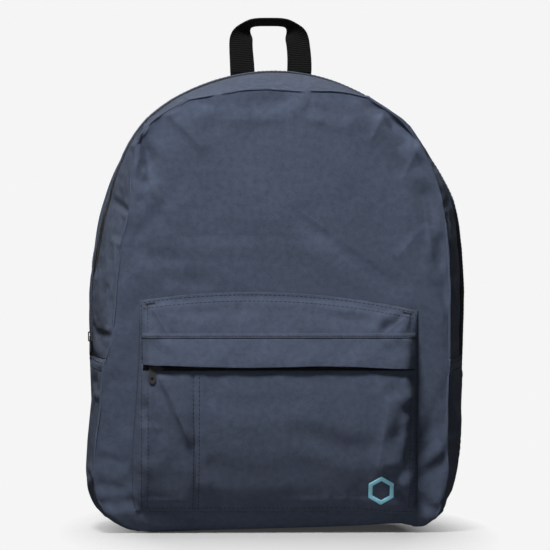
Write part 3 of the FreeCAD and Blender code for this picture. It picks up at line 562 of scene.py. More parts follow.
# both grids share the seam: the sides' first row is copied onto the front's rim
row = sides_fine[0]
a, b, c = ACROSS * EDGE, (ACROSS + UPWARD) * EDGE, (2 * ACROSS + UPWARD) * EDGE
wrapped = np.vstack([row, row[:1]])
front_fine[0], front_fine[:, -1] = wrapped[: a + 1], wrapped[a: b + 1]
front_fine[-1], front_fine[:, 0] = wrapped[b: c + 1][::-1], wrapped[c:][::-1]
print("fine grids:", front_fine.shape, sides_fine.shape)

# %% [markdown]
# ## Materials
# Woven cloth is a bump pattern in UV space, so one thread is as large on every panel. Two sets of waves give
# warp and weft, and noise makes single threads stand out. Sheen makes the edges of folds pale, as on real
# oxford. Webbing has coarse ribs, and nylon, acetal and enamel are smooth plastics with fine scratches.


# %% Materials
def material(name, colour, rough=0.6, coat=0.0, sheen=0.0, metal=0.0, specular=0.5):
    m = bpy.data.materials.new(name)
    m.use_nodes = True
    tree = m.node_tree
    shader = tree.nodes["Principled BSDF"]
    shader.inputs["Base Color"].default_value = (*colour, 1)
    shader.inputs["Roughness"].default_value = rough
    shader.inputs["Metallic"].default_value = metal
    shader.inputs["Coat Weight"].default_value = coat
    shader.inputs["Sheen Weight"].default_value = sheen
    shader.inputs["Sheen Roughness"].default_value = 0.45
    shader.inputs["Specular IOR Level"].default_value = specular
    m.diffuse_color = (*colour, 1)
    return m


class Graph:
    """Short names for making shader nodes."""

    def __init__(self, m):
        self.tree = m.node_tree
        self.shader = self.tree.nodes["Principled BSDF"]

    def node(self, kind, ins=(), **props):
        n = self.tree.nodes.new(kind)
        for key, value in props.items():
            setattr(n, key, value)
        for key, value in dict(ins).items():
            if isinstance(value, bpy.types.NodeSocket):
                self.tree.links.new(value, n.inputs[key])
            else:
                n.inputs[key].default_value = value
        return n

    def math(self, op, a, b=0.0):
        n = self.node("ShaderNodeMath", {0: a, 1: b}, operation=op)
        return n.outputs[0]

    def coords(self, uv=True):
        return self.node("ShaderNodeTexCoord").outputs["UV" if uv else "Object"]

    def noise(self, vector, scale, detail=2.0, rough=0.5):
        n = self.node("ShaderNodeTexNoise", {"Vector": vector, "Scale": scale, "Detail": detail, "Roughness": rough})
        return n.outputs["Fac"]

    def ramp(self, fac, low, high, a, b):
        ends = {"From Min": low, "From Max": high, "To Min": a, "To Max": b}
        n = self.node("ShaderNodeMapRange", {"Value": fac, **ends})
        return n.outputs["Result"]

    def bump(self, height, distance, strength=1.0, normal=None):
        ins = {"Height": height, "Distance": distance, "Strength": strength}
        if normal is not None:
            ins["Normal"] = normal
        return self.node("ShaderNodeBump", ins).outputs["Normal"]

    def colour(self, fac, a, b):
        n = self.node("ShaderNodeMix", {0: fac, 6: (*a, 1), 7: (*b, 1)}, data_type="RGBA")
        return n.outputs[2]

    def into(self, socket, value):
        self.tree.links.new(value, self.shader.inputs[socket])


def woven(name, colour, pitch, rough, sheen, uv=True, contrast=0.25, depth=0.00012, cloudy=0.10, specular=0.35):
    """Plain weave with threads of that pitch, in metres."""
    m = material(name, colour, rough, sheen=sheen, specular=specular)
    g = Graph(m)
    at = g.coords(uv)
    parts = g.node("ShaderNodeSeparateXYZ", {0: at})
    up = parts.outputs[1] if uv else parts.outputs[2]
    wave = 2 * math.pi / pitch
    warp = g.math("SINE", g.math("MULTIPLY", parts.outputs[0], wave))
    weft = g.math("SINE", g.math("MULTIPLY", up, wave))
    over = g.math("MULTIPLY", warp, weft)
    slub = g.noise(at, 0.22 / pitch, 3.0, 0.65)
    threads = g.math("ADD", over, g.math("MULTIPLY", slub, 1.8))
    cloud = g.noise(at, 22.0, 4.0, 0.55)
    dark = tuple(v * (1 - contrast) for v in colour)
    light = tuple(v * (1 + contrast) for v in colour)
    base = g.colour(g.ramp(threads, -0.6, 1.9, 0.0, 1.0), dark, light)
    shade = g.node("ShaderNodeMix", {0: 1.0, 6: base, 7: (1, 1, 1, 1)}, data_type="RGBA", blend_type="MULTIPLY")
    grey = g.node("ShaderNodeCombineColor", {k: g.ramp(cloud, 0.3, 0.7, 1 - cloudy, 1 + cloudy) for k in (0, 1, 2)})
    g.tree.links.new(grey.outputs[0], shade.inputs[7])
    g.into("Base Color", shade.outputs[2])
    crumple = g.bump(g.noise(at, 55.0, 3.0, 0.5), 0.0012, 0.35)
    g.into("Normal", g.bump(threads, depth, 0.9, crumple))
    g.into("Roughness", g.ramp(cloud, 0.3, 0.7, rough - 0.05, rough + 0.07))
    return m


def ribbed(name, colour, pitch, uv=True, rough=0.7):
    """Webbing: ribs across, fine threads along."""
    m = material(name, colour, rough, sheen=0.03, specular=0.15)
    g = Graph(m)
    at = g.coords(uv)
    parts = g.node("ShaderNodeSeparateXYZ", {0: at})
    along = parts.outputs[1] if uv else parts.outputs[2]
    ribs = g.math("SINE", g.math("MULTIPLY", along, 2 * math.pi / pitch))
    lines = g.math("SINE", g.math("MULTIPLY", parts.outputs[0], 2 * math.pi / (pitch * 0.7)))
    height = g.math("ADD", ribs, g.math("MULTIPLY", lines, 0.6))
    height = g.math("ADD", height, g.noise(at, 0.5 / pitch, 2.0))
    light = tuple(v * 1.5 for v in colour)
    g.into("Base Color", g.colour(g.ramp(height, 0.0, 2.4, 0.0, 1.0), colour, light))
    g.into("Normal", g.bump(height, 0.00022, 0.9))
    return m


def plastic(name, colour, rough, metal=0.0, coat=0.0):
    m = material(name, colour, rough, metal=metal, coat=coat)
    g = Graph(m)
    at = g.coords(False)
    scuff = g.noise(at, 900.0, 4.0, 0.7)
    g.into("Roughness", g.ramp(scuff, 0.3, 0.75, rough - 0.08, rough + 0.12))
    g.into("Normal", g.bump(g.noise(at, 2600.0, 2.0), 0.00003, 0.6))
    g.into("Base Color", g.colour(scuff, colour, tuple(min(1, v * 1.35) for v in colour)))
    return m


def mesh_cloth(name, colour):
    """Spacer mesh: small round holes in a knitted face."""
    m = material(name, colour, 0.85, sheen=0.3)
    g = Graph(m)
    at = g.coords(True)
    cells = g.node("ShaderNodeTexVoronoi", {"Vector": at, "Scale": 380.0, "Randomness": 0.15})
    hole = g.ramp(cells.outputs["Distance"], 0.12, 0.42, 0.0, 1.0)
    # painted shade: the holes are painted darker than the face, as the shade inside them
    g.into("Base Color", g.colour(hole, tuple(v * 0.25 for v in colour), colour))
    g.into("Normal", g.bump(hole, 0.0006, 0.9))
    return m


NAVY = (0.066, 0.084, 0.130)
mats = {
    "navy_oxford": woven("oxford navy", NAVY, 0.0012, 0.62, 0.05, contrast=0.62, depth=0.00030, specular=0.24),
    "navy_solid": woven("oxford navy object", NAVY, 0.0011, 0.6, 0.12, uv=False, contrast=0.42, depth=0.0002),
    "lining": woven("coated inside", (0.045, 0.050, 0.062), 0.0009, 0.42, 0.05, contrast=0.1, depth=0.00004),
    "black_webbing": ribbed("webbing black", (0.0050, 0.0050, 0.0053), 0.0016),
    "webbing_solid": ribbed("webbing black object", (0.0050, 0.0050, 0.0053), 0.0016, uv=False),
    "tape": woven("zip tape", (0.010, 0.010, 0.012), 0.0007, 0.8, 0.2, contrast=0.4),
    "tape_solid": woven("zip tape object", (0.010, 0.010, 0.012), 0.0007, 0.8, 0.2, uv=False, contrast=0.4),
    "coil": plastic("zip coil", (0.012, 0.012, 0.014), 0.34),
    "black_plastic": plastic("acetal black", (0.014, 0.014, 0.015), 0.38),
    "black_metal": plastic("enamel black", (0.005, 0.005, 0.006), 0.55),
    "spacer_mesh": mesh_cloth("spacer mesh", (0.030, 0.033, 0.040)),
    "binding": ribbed("binding tape", (0.012, 0.012, 0.014), 0.0011),
    # Both threads are far darker than the cloth: partly the thread's own dark navy, partly painted shade of the seams
    # they sit in.
    "thread": plastic("thread navy", (0.009, 0.011, 0.018), 0.7),
    "dark_thread_and_seam_shade": plastic("thread dark", (0.008, 0.009, 0.013), 0.65),
    "print": plastic("rubber print", (0.30, 0.70, 0.98), 0.5),
}
print(len(mats), "materials")


def dress(obj, *names):
    obj.data.materials.clear()
    for n in names:
        obj.data.materials.append(mats[n])
    return obj


# %% [markdown]
# ## The shell's panels
# Each panel is cut out of the fine grids, gets its thickness, and takes the place of its solids in the frame.
# The front and the strip before the zip, where the bag opens, are not attached to a body.


def bending(obj):
    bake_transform(obj)
    return obj


LEFT_COL, RIGHT_COL = 2 * (ACROSS + UPWARD) - LOW_SIDE, ACROSS + LOW_SIDE
wrap_cols = np.arange(LEFT_COL * EDGE, (RING + RIGHT_COL) * EDGE + 1) % (RING * EDGE)
top_cols = np.arange(RIGHT_COL * EDGE, LEFT_COL * EDGE + 1)
run_fine = np.interp(np.arange(RING * EDGE) / EDGE, np.arange(RING + 1), ring_run)


def side_panel(name, rows, cols, *nodes, body="bag"):
    grid = sides_fine[rows][:, cols]
    u = np.unwrap(run_fine[cols], period=ring_run[-1])
    v = np.linspace(0, 1, grid.shape[0])[:, None] * np.linalg.norm(np.diff(grid, axis=0), axis=2).sum(0).mean()
    uv = np.stack(np.broadcast_arrays(u[None, :], v), 2)
    obj = cloth_mesh(name, grid, uv, thick=1.0, flip=True)
    dress(obj, "navy_oxford", "lining")
    mark_inside(obj, grid.shape)
    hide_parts(*nodes)
    if body:
        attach(obj, body)
    return obj


def mark_inside(obj, shape):
    """The inner side of a cloth mesh takes the second material."""
    first = (shape[0] - 1) * (shape[1] - 1)
    ri = len(range(0, shape[0], 2)) if shape[0] % 2 else len(range(0, shape[0] - 1, 2)) + 1
    ci = len(range(0, shape[1], 2)) if shape[1] % 2 else len(range(0, shape[1] - 1, 2)) + 1
    count = (ri - 1) * (ci - 1)
    index = np.zeros(len(obj.data.polygons), int)
    index[first: first + count] = 1
    obj.data.polygons.foreach_set("material_index", index)


front_cloth = cloth_mesh("front_cloth", front_fine, front_uv, thick=1.0)
mark_inside(front_cloth, front_fine.shape)
dress(front_cloth, "navy_oxford", "lining")
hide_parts("lower_front_panel", "upper_front_panel")
bending(front_cloth)
zip_row, rear_row = FRONT_ROWS * EDGE, (FRONT_ROWS + ZIP_ROWS) * EDGE
gusset = side_panel("gusset_cloth", slice(0, None), wrap_cols, "lower_gusset")
front_strip = side_panel("front_strip_cloth", slice(0, zip_row + 1), top_cols, "front_zip_strip",
                         "front_strip_legs", body=None)
bending(front_strip)
rear_strip = side_panel("rear_strip_cloth", slice(rear_row, None), top_cols, "rear_zip_strip")
for o in (front_cloth, gusset, front_strip, rear_strip):
    print(o.name, len(o.data.vertices), "vertices")

# %% [markdown]
# ## Small builders
# A sweep is a closed tube: a section carried along a path, for straps, webbing and binding. A patch is a
# thin sewn-on piece with soft edges. Sampling reads a point and a normal anywhere on a grid, and a ray from
# the front finds the cloth at a given place.


# %% Sweeps, patches, sampling
def unit(v):
    return v / np.maximum(np.linalg.norm(v, axis=-1, keepdims=True), 1e-9)


def sweep(name, sections, uv=None, mats_of=None):
    """Closed tube through (n, m, 3) sections, with capped ends."""
    n, m = sections.shape[:2]
    faces = grid_faces(n, m, closed=True).tolist()
    faces += [list(range(m))[::-1], list(range((n - 1) * m, n * m))]
    obj = new_object(name, sections.reshape(-1, 3), faces, None if uv is None else uv.reshape(-1, 2))
    centre = sections.mean(1)
    k = n // 2
    first = sections[k]
    turn = np.cross(first[1] - first[0], centre[min(k + 1, n - 1)] - centre[k])
    if np.dot(turn, first[0] - centre[k]) < 0:
        obj.data.flip_normals()
    if mats_of is not None:
        index = np.zeros(len(faces), int)
        index[: (n - 1) * m] = mats_of(np.arange((n - 1) * m).reshape(n - 1, m)).ravel()
        obj.data.polygons.foreach_set("material_index", index)
    return obj


def rounded(width, thick, count=20, power=0.28):
    """A flat section with soft edges: (across, outward) points."""
    a = np.linspace(0, 2 * np.pi, count, endpoint=False)
    c, s = np.cos(a), np.sin(a)
    return np.stack([width / 2 * np.sign(c) * np.abs(c) ** power, thick / 2 * np.sign(s) * np.abs(s) ** 0.7], 1)


def ribbon(name, centre, across, out, width, thick, mat="black_webbing", count=20):
    section = rounded(1.0, 1.0, count)
    width = np.broadcast_to(width, len(centre))
    thick = np.broadcast_to(thick, len(centre))
    pts = (centre[:, None] + across[:, None] * (section[None, :, :1] * width[:, None, None])
           + out[:, None] * (section[None, :, 1:] * thick[:, None, None]))
    run = np.concatenate([[0], np.cumsum(np.linalg.norm(np.diff(centre, axis=0), axis=1))])
    uv = np.stack(np.broadcast_arrays(section[None, :, 0] * width[:, None], run[:, None]), 2)
    return dress(sweep(name, pts, uv), mat)


def patch(name, zs, left, right, y, thick, cols=30, soft=2.5, mat="navy_oxford"):
    """A sewn-on piece lying on the back: rows up, its left and right edges given for each row."""
    u = np.linspace(0, 1, cols)[None, :]
    x = left[:, None] + (right - left)[:, None] * u
    z = np.broadcast_to(zs[:, None], x.shape)
    rim = np.minimum(np.minimum(x - x[:, :1], x[:, -1:] - x), np.minimum(z - zs[0], zs[-1] - z))
    lift = thick * (0.55 + 0.45 * smooth_step(0, soft, rim))
    grid = np.stack([x, y + lift, z], 2)
    obj = cloth_mesh(name, grid, np.stack([x, z], 2), thick=thick * 0.5, flip=True)
    return dress(obj, mat), grid


def sample(grid, normals, r, c, closed=False):
    """Point and normal at fractional rows and columns."""
    rows, cols = grid.shape[:2]
    r0 = np.clip(np.floor(r).astype(int), 0, rows - 2)
    c0 = np.floor(c).astype(int)
    c0 = c0 % cols if closed else np.clip(c0, 0, cols - 2)
    c1 = (c0 + 1) % cols
    fr, fc = (r - r0)[..., None], (c - np.floor(c))[..., None] if closed else (c - c0)[..., None]

    def mix(g):
        return ((1 - fr) * (1 - fc) * g[r0, c0] + (1 - fr) * fc * g[r0, c1]
                + fr * (1 - fc) * g[r0 + 1, c0] + fr * fc * g[r0 + 1, c1])

    return mix(grid), unit(mix(normals))


def bvh(grids):
    verts, faces, base = [], [], 0
    for g in grids:
        verts.append(g.reshape(-1, 3))
        faces.append(grid_faces(*g.shape[:2]) + base)
        base += g.shape[0] * g.shape[1]
    return BVHTree.FromPolygons(np.vstack(verts).tolist(), np.vstack(faces).tolist())


def from_front(tree, x, z, start=-400.0):
    """Where rays along +Y meet the cloth: points and outward normals."""
    shape = np.shape(x)
    p, n = np.zeros((np.size(x), 3)), np.zeros((np.size(x), 3))
    for k, (a, b) in enumerate(zip(np.ravel(x), np.ravel(z))):
        hit, normal, _, _ = tree.ray_cast(Vector((a, start, b)), Vector((0, 1, 0)))
        if hit is None:
            near = tree.find_nearest(Vector((a, -75.0, b)))
            hit, normal = near[0], near[1]
        p[k], n[k] = hit, normal if normal.y < 0 else -normal
    return p.reshape(*shape, 3), n.reshape(*shape, 3)


# %% [markdown]
# ## Stitches and teeth
# What repeats hundreds of times is made by two Geometry Nodes groups. Each takes points that carry two
# directions, along and out, and stamps one small shape on every point: a thread that rises out of the cloth,
# or a loop of the nylon coil. Their sizes are inputs of the modifier, and the result is baked into a mesh.


# %% Geometry Nodes groups
def stamp_group(kind):
    tree = bpy.data.node_groups.new("stamp " + kind, "GeometryNodeTree")
    face = tree.interface
    face.new_socket("Geometry", in_out="INPUT", socket_type="NodeSocketGeometry")
    for label, value in (("Length", 0.003), ("Width", 0.0006), ("Height", 0.0005)):
        s = face.new_socket(label, in_out="INPUT", socket_type="NodeSocketFloat")
        s.default_value = value
    face.new_socket("Material", in_out="INPUT", socket_type="NodeSocketMaterial")
    face.new_socket("Geometry", in_out="OUTPUT", socket_type="NodeSocketGeometry")
    add, link = tree.nodes.new, tree.links.new
    source, sink = add("NodeGroupInput"), add("NodeGroupOutput")
    size = add("ShaderNodeCombineXYZ")
    for i, label in enumerate(("Length", "Width", "Height")):
        link(source.outputs[label], size.inputs[i])
    if kind == "stitch":
        shape = add("GeometryNodeMeshUVSphere")
        shape.inputs["Segments"].default_value = 6
        shape.inputs["Rings"].default_value = 6
        shape.inputs["Radius"].default_value = 0.5
        turn = add("GeometryNodeTransform")
        turn.inputs["Rotation"].default_value = (0, math.pi / 2, 0)
        link(shape.outputs["Mesh"], turn.inputs["Geometry"])
        piece = turn.outputs["Geometry"]
    else:
        loop, wire = add("GeometryNodeCurvePrimitiveCircle"), add("GeometryNodeCurvePrimitiveCircle")
        loop.inputs["Resolution"].default_value = 10
        loop.inputs["Radius"].default_value = 0.5
        wire.inputs["Resolution"].default_value = 5
        wire.inputs["Radius"].default_value = 0.17
        tube = add("GeometryNodeCurveToMesh")
        link(loop.outputs[0], tube.inputs["Curve"])
        link(wire.outputs[0], tube.inputs["Profile Curve"])
        turn = add("GeometryNodeTransform")
        turn.inputs["Rotation"].default_value = (0, math.pi / 2, 0)
        turn.inputs["Scale"].default_value = (1, 1, 1)
        link(tube.outputs["Mesh"], turn.inputs["Geometry"])
        piece = turn.outputs["Geometry"]
    place = add("GeometryNodeInstanceOnPoints")
    link(source.outputs["Geometry"], place.inputs["Points"])
    link(piece, place.inputs["Instance"])
    link(size.outputs[0], place.inputs["Scale"])
    facing = None
    for axis, label, pivot in (("X", "along", "AUTO"), ("Z", "out", "X")):
        read = add("GeometryNodeInputNamedAttribute")
        read.data_type = "FLOAT_VECTOR"
        read.inputs["Name"].default_value = label
        align = add("FunctionNodeAlignRotationToVector")
        align.axis = axis
        align.pivot_axis = pivot
        link(read.outputs["Attribute"], align.inputs["Vector"])
        if facing is not None:
            link(facing, align.inputs["Rotation"])
        facing = align.outputs["Rotation"]
    link(facing, place.inputs["Rotation"])
    real = add("GeometryNodeRealizeInstances")
    paint = add("GeometryNodeSetMaterial")
    smooth = add("GeometryNodeSetShadeSmooth")
    link(place.outputs["Instances"], real.inputs["Geometry"])
    link(real.outputs["Geometry"], smooth.inputs["Geometry"])
    link(smooth.outputs["Geometry"], paint.inputs["Geometry"])
    link(source.outputs["Material"], paint.inputs["Material"])
    link(paint.outputs["Geometry"], sink.inputs["Geometry"])
    return tree


groups = {kind: stamp_group(kind) for kind in ("stitch", "tooth")}


def stamp(name, kind, runs, length, width, height, mat):
    """Bakes one shape on every point of the runs, each a (points, along, out) triple in millimetres."""
    p, along, out = (np.vstack([r[i] for r in runs]) for i in range(3))
    seeds = new_object(name, p, [], smooth=False)
    for label, data in (("along", along), ("out", out)):
        attribute = seeds.data.attributes.new(label, "FLOAT_VECTOR", "POINT")
        attribute.data.foreach_set("vector", np.ascontiguousarray(data, dtype=np.float32).ravel())
    mod = seeds.modifiers.new("stamp", "NODES")
    mod.node_group = groups[kind]
    ids = {s.name: s.identifier for s in groups[kind].interface.items_tree if s.in_out == "INPUT"}
    for label, value in (("Length", length), ("Width", width), ("Height", height)):
        mod[ids[label]] = value * MM
    mod[ids["Material"]] = mats[mat]
    depsgraph = bpy.context.evaluated_depsgraph_get()
    mesh = bpy.data.meshes.new_from_object(seeds.evaluated_get(depsgraph))
    seeds.modifiers.clear()
    old, seeds.data = seeds.data, mesh
    bpy.data.meshes.remove(old)
    mesh.name = name
    return seeds


def spaced(points, normals, pitch, start=0.5):
    """Points every pitch along a line, with their directions."""
    step = np.linalg.norm(np.diff(points, axis=0), axis=1)
    run = np.concatenate([[0], np.cumsum(step)])
    count = max(int(run[-1] / pitch), 1)
    at = (np.arange(count) + start) * run[-1] / count
    p = np.stack([np.interp(at, run, points[:, k]) for k in range(3)], 1)
    n = unit(np.stack([np.interp(at, run, normals[:, k]) for k in range(3)], 1))
    ahead = np.stack([np.interp(at + 0.4, run, points[:, k]) for k in range(3)], 1)
    behind = np.stack([np.interp(at - 0.4, run, points[:, k]) for k in range(3)], 1)
    return p, unit(ahead - behind), n


STITCH, THREAD = 3.8, (3.0, 0.8, 0.6)


def sew(name, lines, body, mat="thread", pitch=STITCH, blend_it=None):
    """Rows of stitches along (points, normals) lines, pressed half into the cloth."""
    runs = [spaced(p - n * 0.02, n, pitch) for p, n in lines]
    obj = stamp(name, "stitch", runs, THREAD[0] * pitch / STITCH, THREAD[1], THREAD[2], mat)
    if blend_it:
        blend_it(obj)
    elif body:
        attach(obj, body)
    return obj


# %% [markdown]
# ## The main zip
# Two tapes lie under the folded edges of the strips, and a coil runs along each. Both follow the cloth, so
# the zip sits in its valley all the way round.

# %% Main zip
side_normals = -grid_normals(sides_fine)
zip_cols = np.linspace(RIGHT_COL * EDGE, LEFT_COL * EDGE, 421)


def row_of(y):
    """Fine row of the sides at a depth near the zip."""
    y = np.asarray(y, float)
    in_zip = zip_row + (y - zip_front_y) / (zip_back_y - zip_front_y) * ZIP_ROWS * EDGE
    behind = rear_row + (y - zip_back_y) / (back_y - zip_back_y) * REAR_ROWS * EDGE
    before = zip_row + (y - zip_front_y) / (zip_front_y + 66.0) * FRONT_ROWS * EDGE
    return np.where(y > zip_back_y, behind, np.where(y < zip_front_y, before, in_zip))


def zip_grid(ys, depths):
    rows = []
    for y, d in zip(ys, depths):
        p, n = sample(sides_fine, side_normals, np.full(zip_cols.shape, float(row_of(y))), zip_cols)
        rows.append(p - n * d)
    return np.stack(rows)


def zip_tape(name, ys, depths, *nodes):
    grid = zip_grid(ys, depths)
    run = np.arange(len(zip_cols)) * 1.6
    uv = np.stack(np.broadcast_arrays(run[None, :], np.array(ys)[:, None]), 2)
    obj = dress(cloth_mesh(name, grid, uv, thick=0.5, flip=True), "tape")
    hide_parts(*nodes)
    return obj


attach(zip_tape("main_zip_tape_back", [6.9, 9.0, 11.0, 13.2, 15.5, 18.5], [1.7, 1.5, 1.2, 1.15, 1.7, 1.7],
                 "main_zip_tape_rear"), "bag")
bending(zip_tape("main_zip_tape_fore", [-3.5, -0.5, 1.8, 4.0, 6.0, 8.1], [1.7, 1.7, 1.15, 1.2, 1.0, 1.1],
                 "main_zip_tape_front", "main_zip_tape_front_legs"))


def zip_coil(name, y, phase, *nodes):
    p, n = sample(sides_fine, side_normals, np.full(zip_cols.shape, float(row_of(y))), zip_cols)
    runs = [spaced(p - n * 0.75, n, 1.5, start=phase)]
    obj = stamp(name, "tooth", runs, 0.95, 3.0, 1.7, "coil")
    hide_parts(*nodes)
    return obj


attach(zip_coil("main_coil_back", 8.8, 0.25, "main_zip_coil_rear"), "bag")
bending(zip_coil("main_coil_fore", 6.2, 0.75, "main_zip_coil_front", "main_zip_coil_front_legs"))
print("main zip done")

# %% [markdown]
# ## The front pocket
# The pocket is one panel that is fuller than the front behind it, sewn down all round. It is blown up on its
# own, with its rim held, and then cut along its zip and its pen seam.

# %% Pocket cloth
pocket_low_z = node_box("pocket_main_panel")[0][2]
pocket_half = node_box("pocket_main_panel")[1][0]
pen_x = node_box("pocket_main_panel")[0][0]
gap_low, gap_high = node_box("pocket_main_panel")[1][2] + 3.0, node_box("pocket_top_panel")[0][2]
pocket_top_z = node_box("pocket_top_panel")[1][2]
flap_z = node_box("pocket_flap")[1][2]
flap_low_z = node_box("pocket_flap")[0][2]
middle_z = (pocket_low_z + pocket_top_z) / 2
pocket_arc = circle_through(
    (arc_y(crown, pocket_low_z), pocket_low_z), (arc_y(crown, middle_z) - 24.0, middle_z),
    (arc_y(crown, pocket_top_z), pocket_top_z))
PEN_COLS, MAIN_COLS, LOW_ROWS, GAP_ROWS, TOP_ROWS = 16, 62, 40, 4, 18
px = np.concatenate([np.linspace(-pocket_half, pen_x, PEN_COLS + 1),
                     np.linspace(pen_x, pocket_half, MAIN_COLS + 1)[1:]])
top_edge = pocket_top_z - 11.0 * (px / pocket_half) ** 2 - 4.5 * px / pocket_half
low_edge = pocket_low_z + 3.5 * smooth_step(110, 60, px)
pz = np.vstack([
    low_edge + (gap_low - low_edge) * np.linspace(0, 1, LOW_ROWS + 1)[:, None],
    np.linspace(gap_low, gap_high, GAP_ROWS + 1)[1:, None] + 0 * px,
    gap_high + np.linspace(0, 1, TOP_ROWS + 1)[1:, None] * (top_edge - gap_high)[None, :],
])


def slanted(x, z):
    """The pocket's left edge and its pen seam don't hang quite straight."""
    edge = smooth_step(-60, -117, x) * smooth_step(175, 50, z) * (1 - 0.5 * smooth_step(34, 18, z))
    return x - 6.0 * edge - 3.0 * bell(x, pen_x, 22) * smooth_step(50, 135, z)


pU = np.broadcast_to(px, pz.shape)
pX = slanted(pU, pz)
front_tree = bvh([front_fine])
under, _ = from_front(front_tree, pX, pz)


def rise(d, reach):
    return 1 - (1 - np.clip(d / reach, 0, 1)) ** 2.4


puff = np.maximum(arc_y(crown, pz) - arc_y(pocket_arc, pz), 0)
shape = rise(pocket_half - np.abs(pU), 15.0) * rise(top_edge[None, :] - pz, 14.0)
puff = (puff * shape + 0.8 * shape) * rise(pz - low_edge[None, :], 9.0)
free = smooth_step(1.0, 8.0, puff)
py = under[..., 1] * (1 - free) + arc_y(crown, pz) * free - 1.15 - puff
pocket = np.stack([pX, py, pz], 2)
PR, PC = pz.shape
ids = np.arange(PR * PC).reshape(PR, PC)
hold = {int(i): 1.0 for i in np.concatenate([ids[0], ids[-1], ids[:, 0], ids[:, -1]])}
for r in range(LOW_ROWS, LOW_ROWS + GAP_ROWS + 1):
    for i in ids[r]:
        hold[int(i)] = 1.0
blown = blow_up("pocket", pocket.reshape(-1, 3), grid_faces(PR, PC), hold.items(),
                {int(i): 1.0 for i in ids[:, PEN_COLS]}.items(), pressure=0.2, looser=0.02,
                shorter=0.01, cap=3.0)
pocket_n = grid_normals(pocket)
move = ((blown.reshape(PR, PC, 3) - pocket) * pocket_n).sum(2)
move = 0.6 * blur(move - 0.75 * blur(move, 24), 2)
PF = 4
pocket_fine = refine(pocket + pocket_n * move[..., None], PF)
gx, gz = pocket_fine[..., 0], pocket_fine[..., 2]
pocket_folds = [
    ([(-116, 108), (-106, 94), (-108, 70)], 7, 2.0),
    ([(-112, 196), (-104, 184), (-95, 172)], 5, 2.6), ([(-116, 190), (-110, 176)], 4, 2.0),
    ([(112, 192), (104, 182), (92, 176)], 5, 3.0), ([(117, 186), (110, 172)], 4, 2.0),
    ([(110, 104), (104, 84), (109, 56)], 7, 3.4), ([(98, 122), (108, 108)], 6, 1.6),
    ([(117, 22), (104, 34), (96, 50)], 6, 2.6),
    ([(-60, 60), (-20, 52), (30, 58)], 10, 0.6), ([(-62, 118), (-30, 112), (20, 116)], 9, 1.0),
    ([(20, 90), (60, 76), (92, 80)], 9, 1.2), ([(-66, 30), (-30, 26), (10, 28)], 7, 1.0),
    ([(-64, 100), (-52, 80), (-58, 60)], 7, 0.5),
    ([(30, 190), (60, 184), (90, 188)], 7, 0.9), ([(-70, 192), (-30, 196)], 7, 0.9),
]
rise_up = sum(crease(gx, gz, line, w, d) for line, w, d in pocket_folds)
ends = refine(np.stack(np.broadcast_arrays(top_edge, low_edge, px, pz)[:3], 2), PF)
edge_d = np.minimum(pocket_half - np.abs(ends[..., 2]), np.minimum(gz - ends[..., 1], ends[..., 0] - gz))
rise_up += sum(ridge(gx, gz, line, w, d) for line, w, d in [
    ([(-103, 138), (-77, 78)], 11, 9.0), ([(-114, 106), (-104, 88)], 6, 2.4), ([(-111, 196), (-93, 168)], 6, 4.2),
    ([(-113, 196), (-106, 170)], 4, 2.4), ([(114, 190), (90, 172)], 6, 3.2), ([(94, 118), (84, 56)], 14, 3.0),
    ([(84, 60), (104, 24)], 8, 2.4), ([(-108, 190), (-60, 178)], 9, 1.0),
])
rise_up += sum(pleat(gx, gz, line, w, d) for line, w, d in [
    ([(106, 54), (112, 104)], 7, 3.0), ([(96, 48), (116, 20)], 6, 2.4), ([(20, 92), (90, 70)], 14, 1.2),
])
rise_up = rise_up * smooth_step(1, 9, edge_d) * smooth_step(0, 8, np.abs(gz - (gap_low + gap_high) / 2) - 5)
below_zip = smooth_step(2, -2, gz - gap_low)
rise_up += below_zip * (-0.7 * bell(ends[..., 2], pen_x, 1.7) + 0.5 * bell(np.abs(ends[..., 2] - pen_x), 8.0, 4.0))
rise_up -= 1.2 * bell(gz, 134, 9) * smooth_step(0, 6, edge_d)
rise_up += 0.5 * bell(edge_d, 10.0, 3.5) - 0.45 * bell(edge_d, 4.5, 2.6)
pocket_fine = pocket_fine + grid_normals(pocket_fine) * rise_up[..., None]
pocket_uv = pocket_fine[..., [0, 2]]
cut_low, cut_high, cut_pen = LOW_ROWS * PF, (LOW_ROWS + GAP_ROWS) * PF, PEN_COLS * PF


def pocket_piece(name, rows, cols, *nodes):
    g = pocket_fine[rows, cols]
    obj = cloth_mesh(name, g, pocket_uv[rows, cols], thick=0.9)
    mark_inside(obj, g.shape)
    dress(obj, "navy_oxford", "lining")
    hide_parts(*nodes)
    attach(obj, "bag")
    return obj


pocket_piece("pocket_pen_cloth", slice(0, cut_low + 1), slice(0, cut_pen + 1), "pocket_pen_panel")
pocket_piece("pocket_main_cloth", slice(0, cut_low + 1), slice(cut_pen, None), "pocket_main_panel")
pocket_piece("pocket_top_cloth", slice(cut_high, None), slice(0, None), "pocket_top_panel")
pocket_piece("pocket_tab_left", slice(cut_low, cut_high + 1), slice(0, 5), "pocket_zip_end_tabs")
pocket_piece("pocket_tab_right", slice(cut_low, cut_high + 1), slice(-5, None), "pocket_zip_end_tabs")
pocket_tree = bvh([pocket_fine])
print("pocket", pocket_fine.shape)

# %% [markdown]
# ## Pocket zip, flap and print
# The pocket's zip lies flat, so its tapes and coils follow one arc of the cloth. The flap hangs from a
# stitched edge just above it and stands off far enough for the slider to pass.

# %% Pocket zip, flap, print
zip_x = np.linspace(-116.5, 116.5, 234)


def along_pocket(z, lift=0.0, x=zip_x):
    p, n = from_front(pocket_tree, x, np.full(x.shape, float(z)) if np.isscalar(z) else z)
    n = unit(blur(n.reshape(1, -1, 3).repeat(3, 0), 3)[1]) if len(x) > 20 else n
    return p + n * lift, n


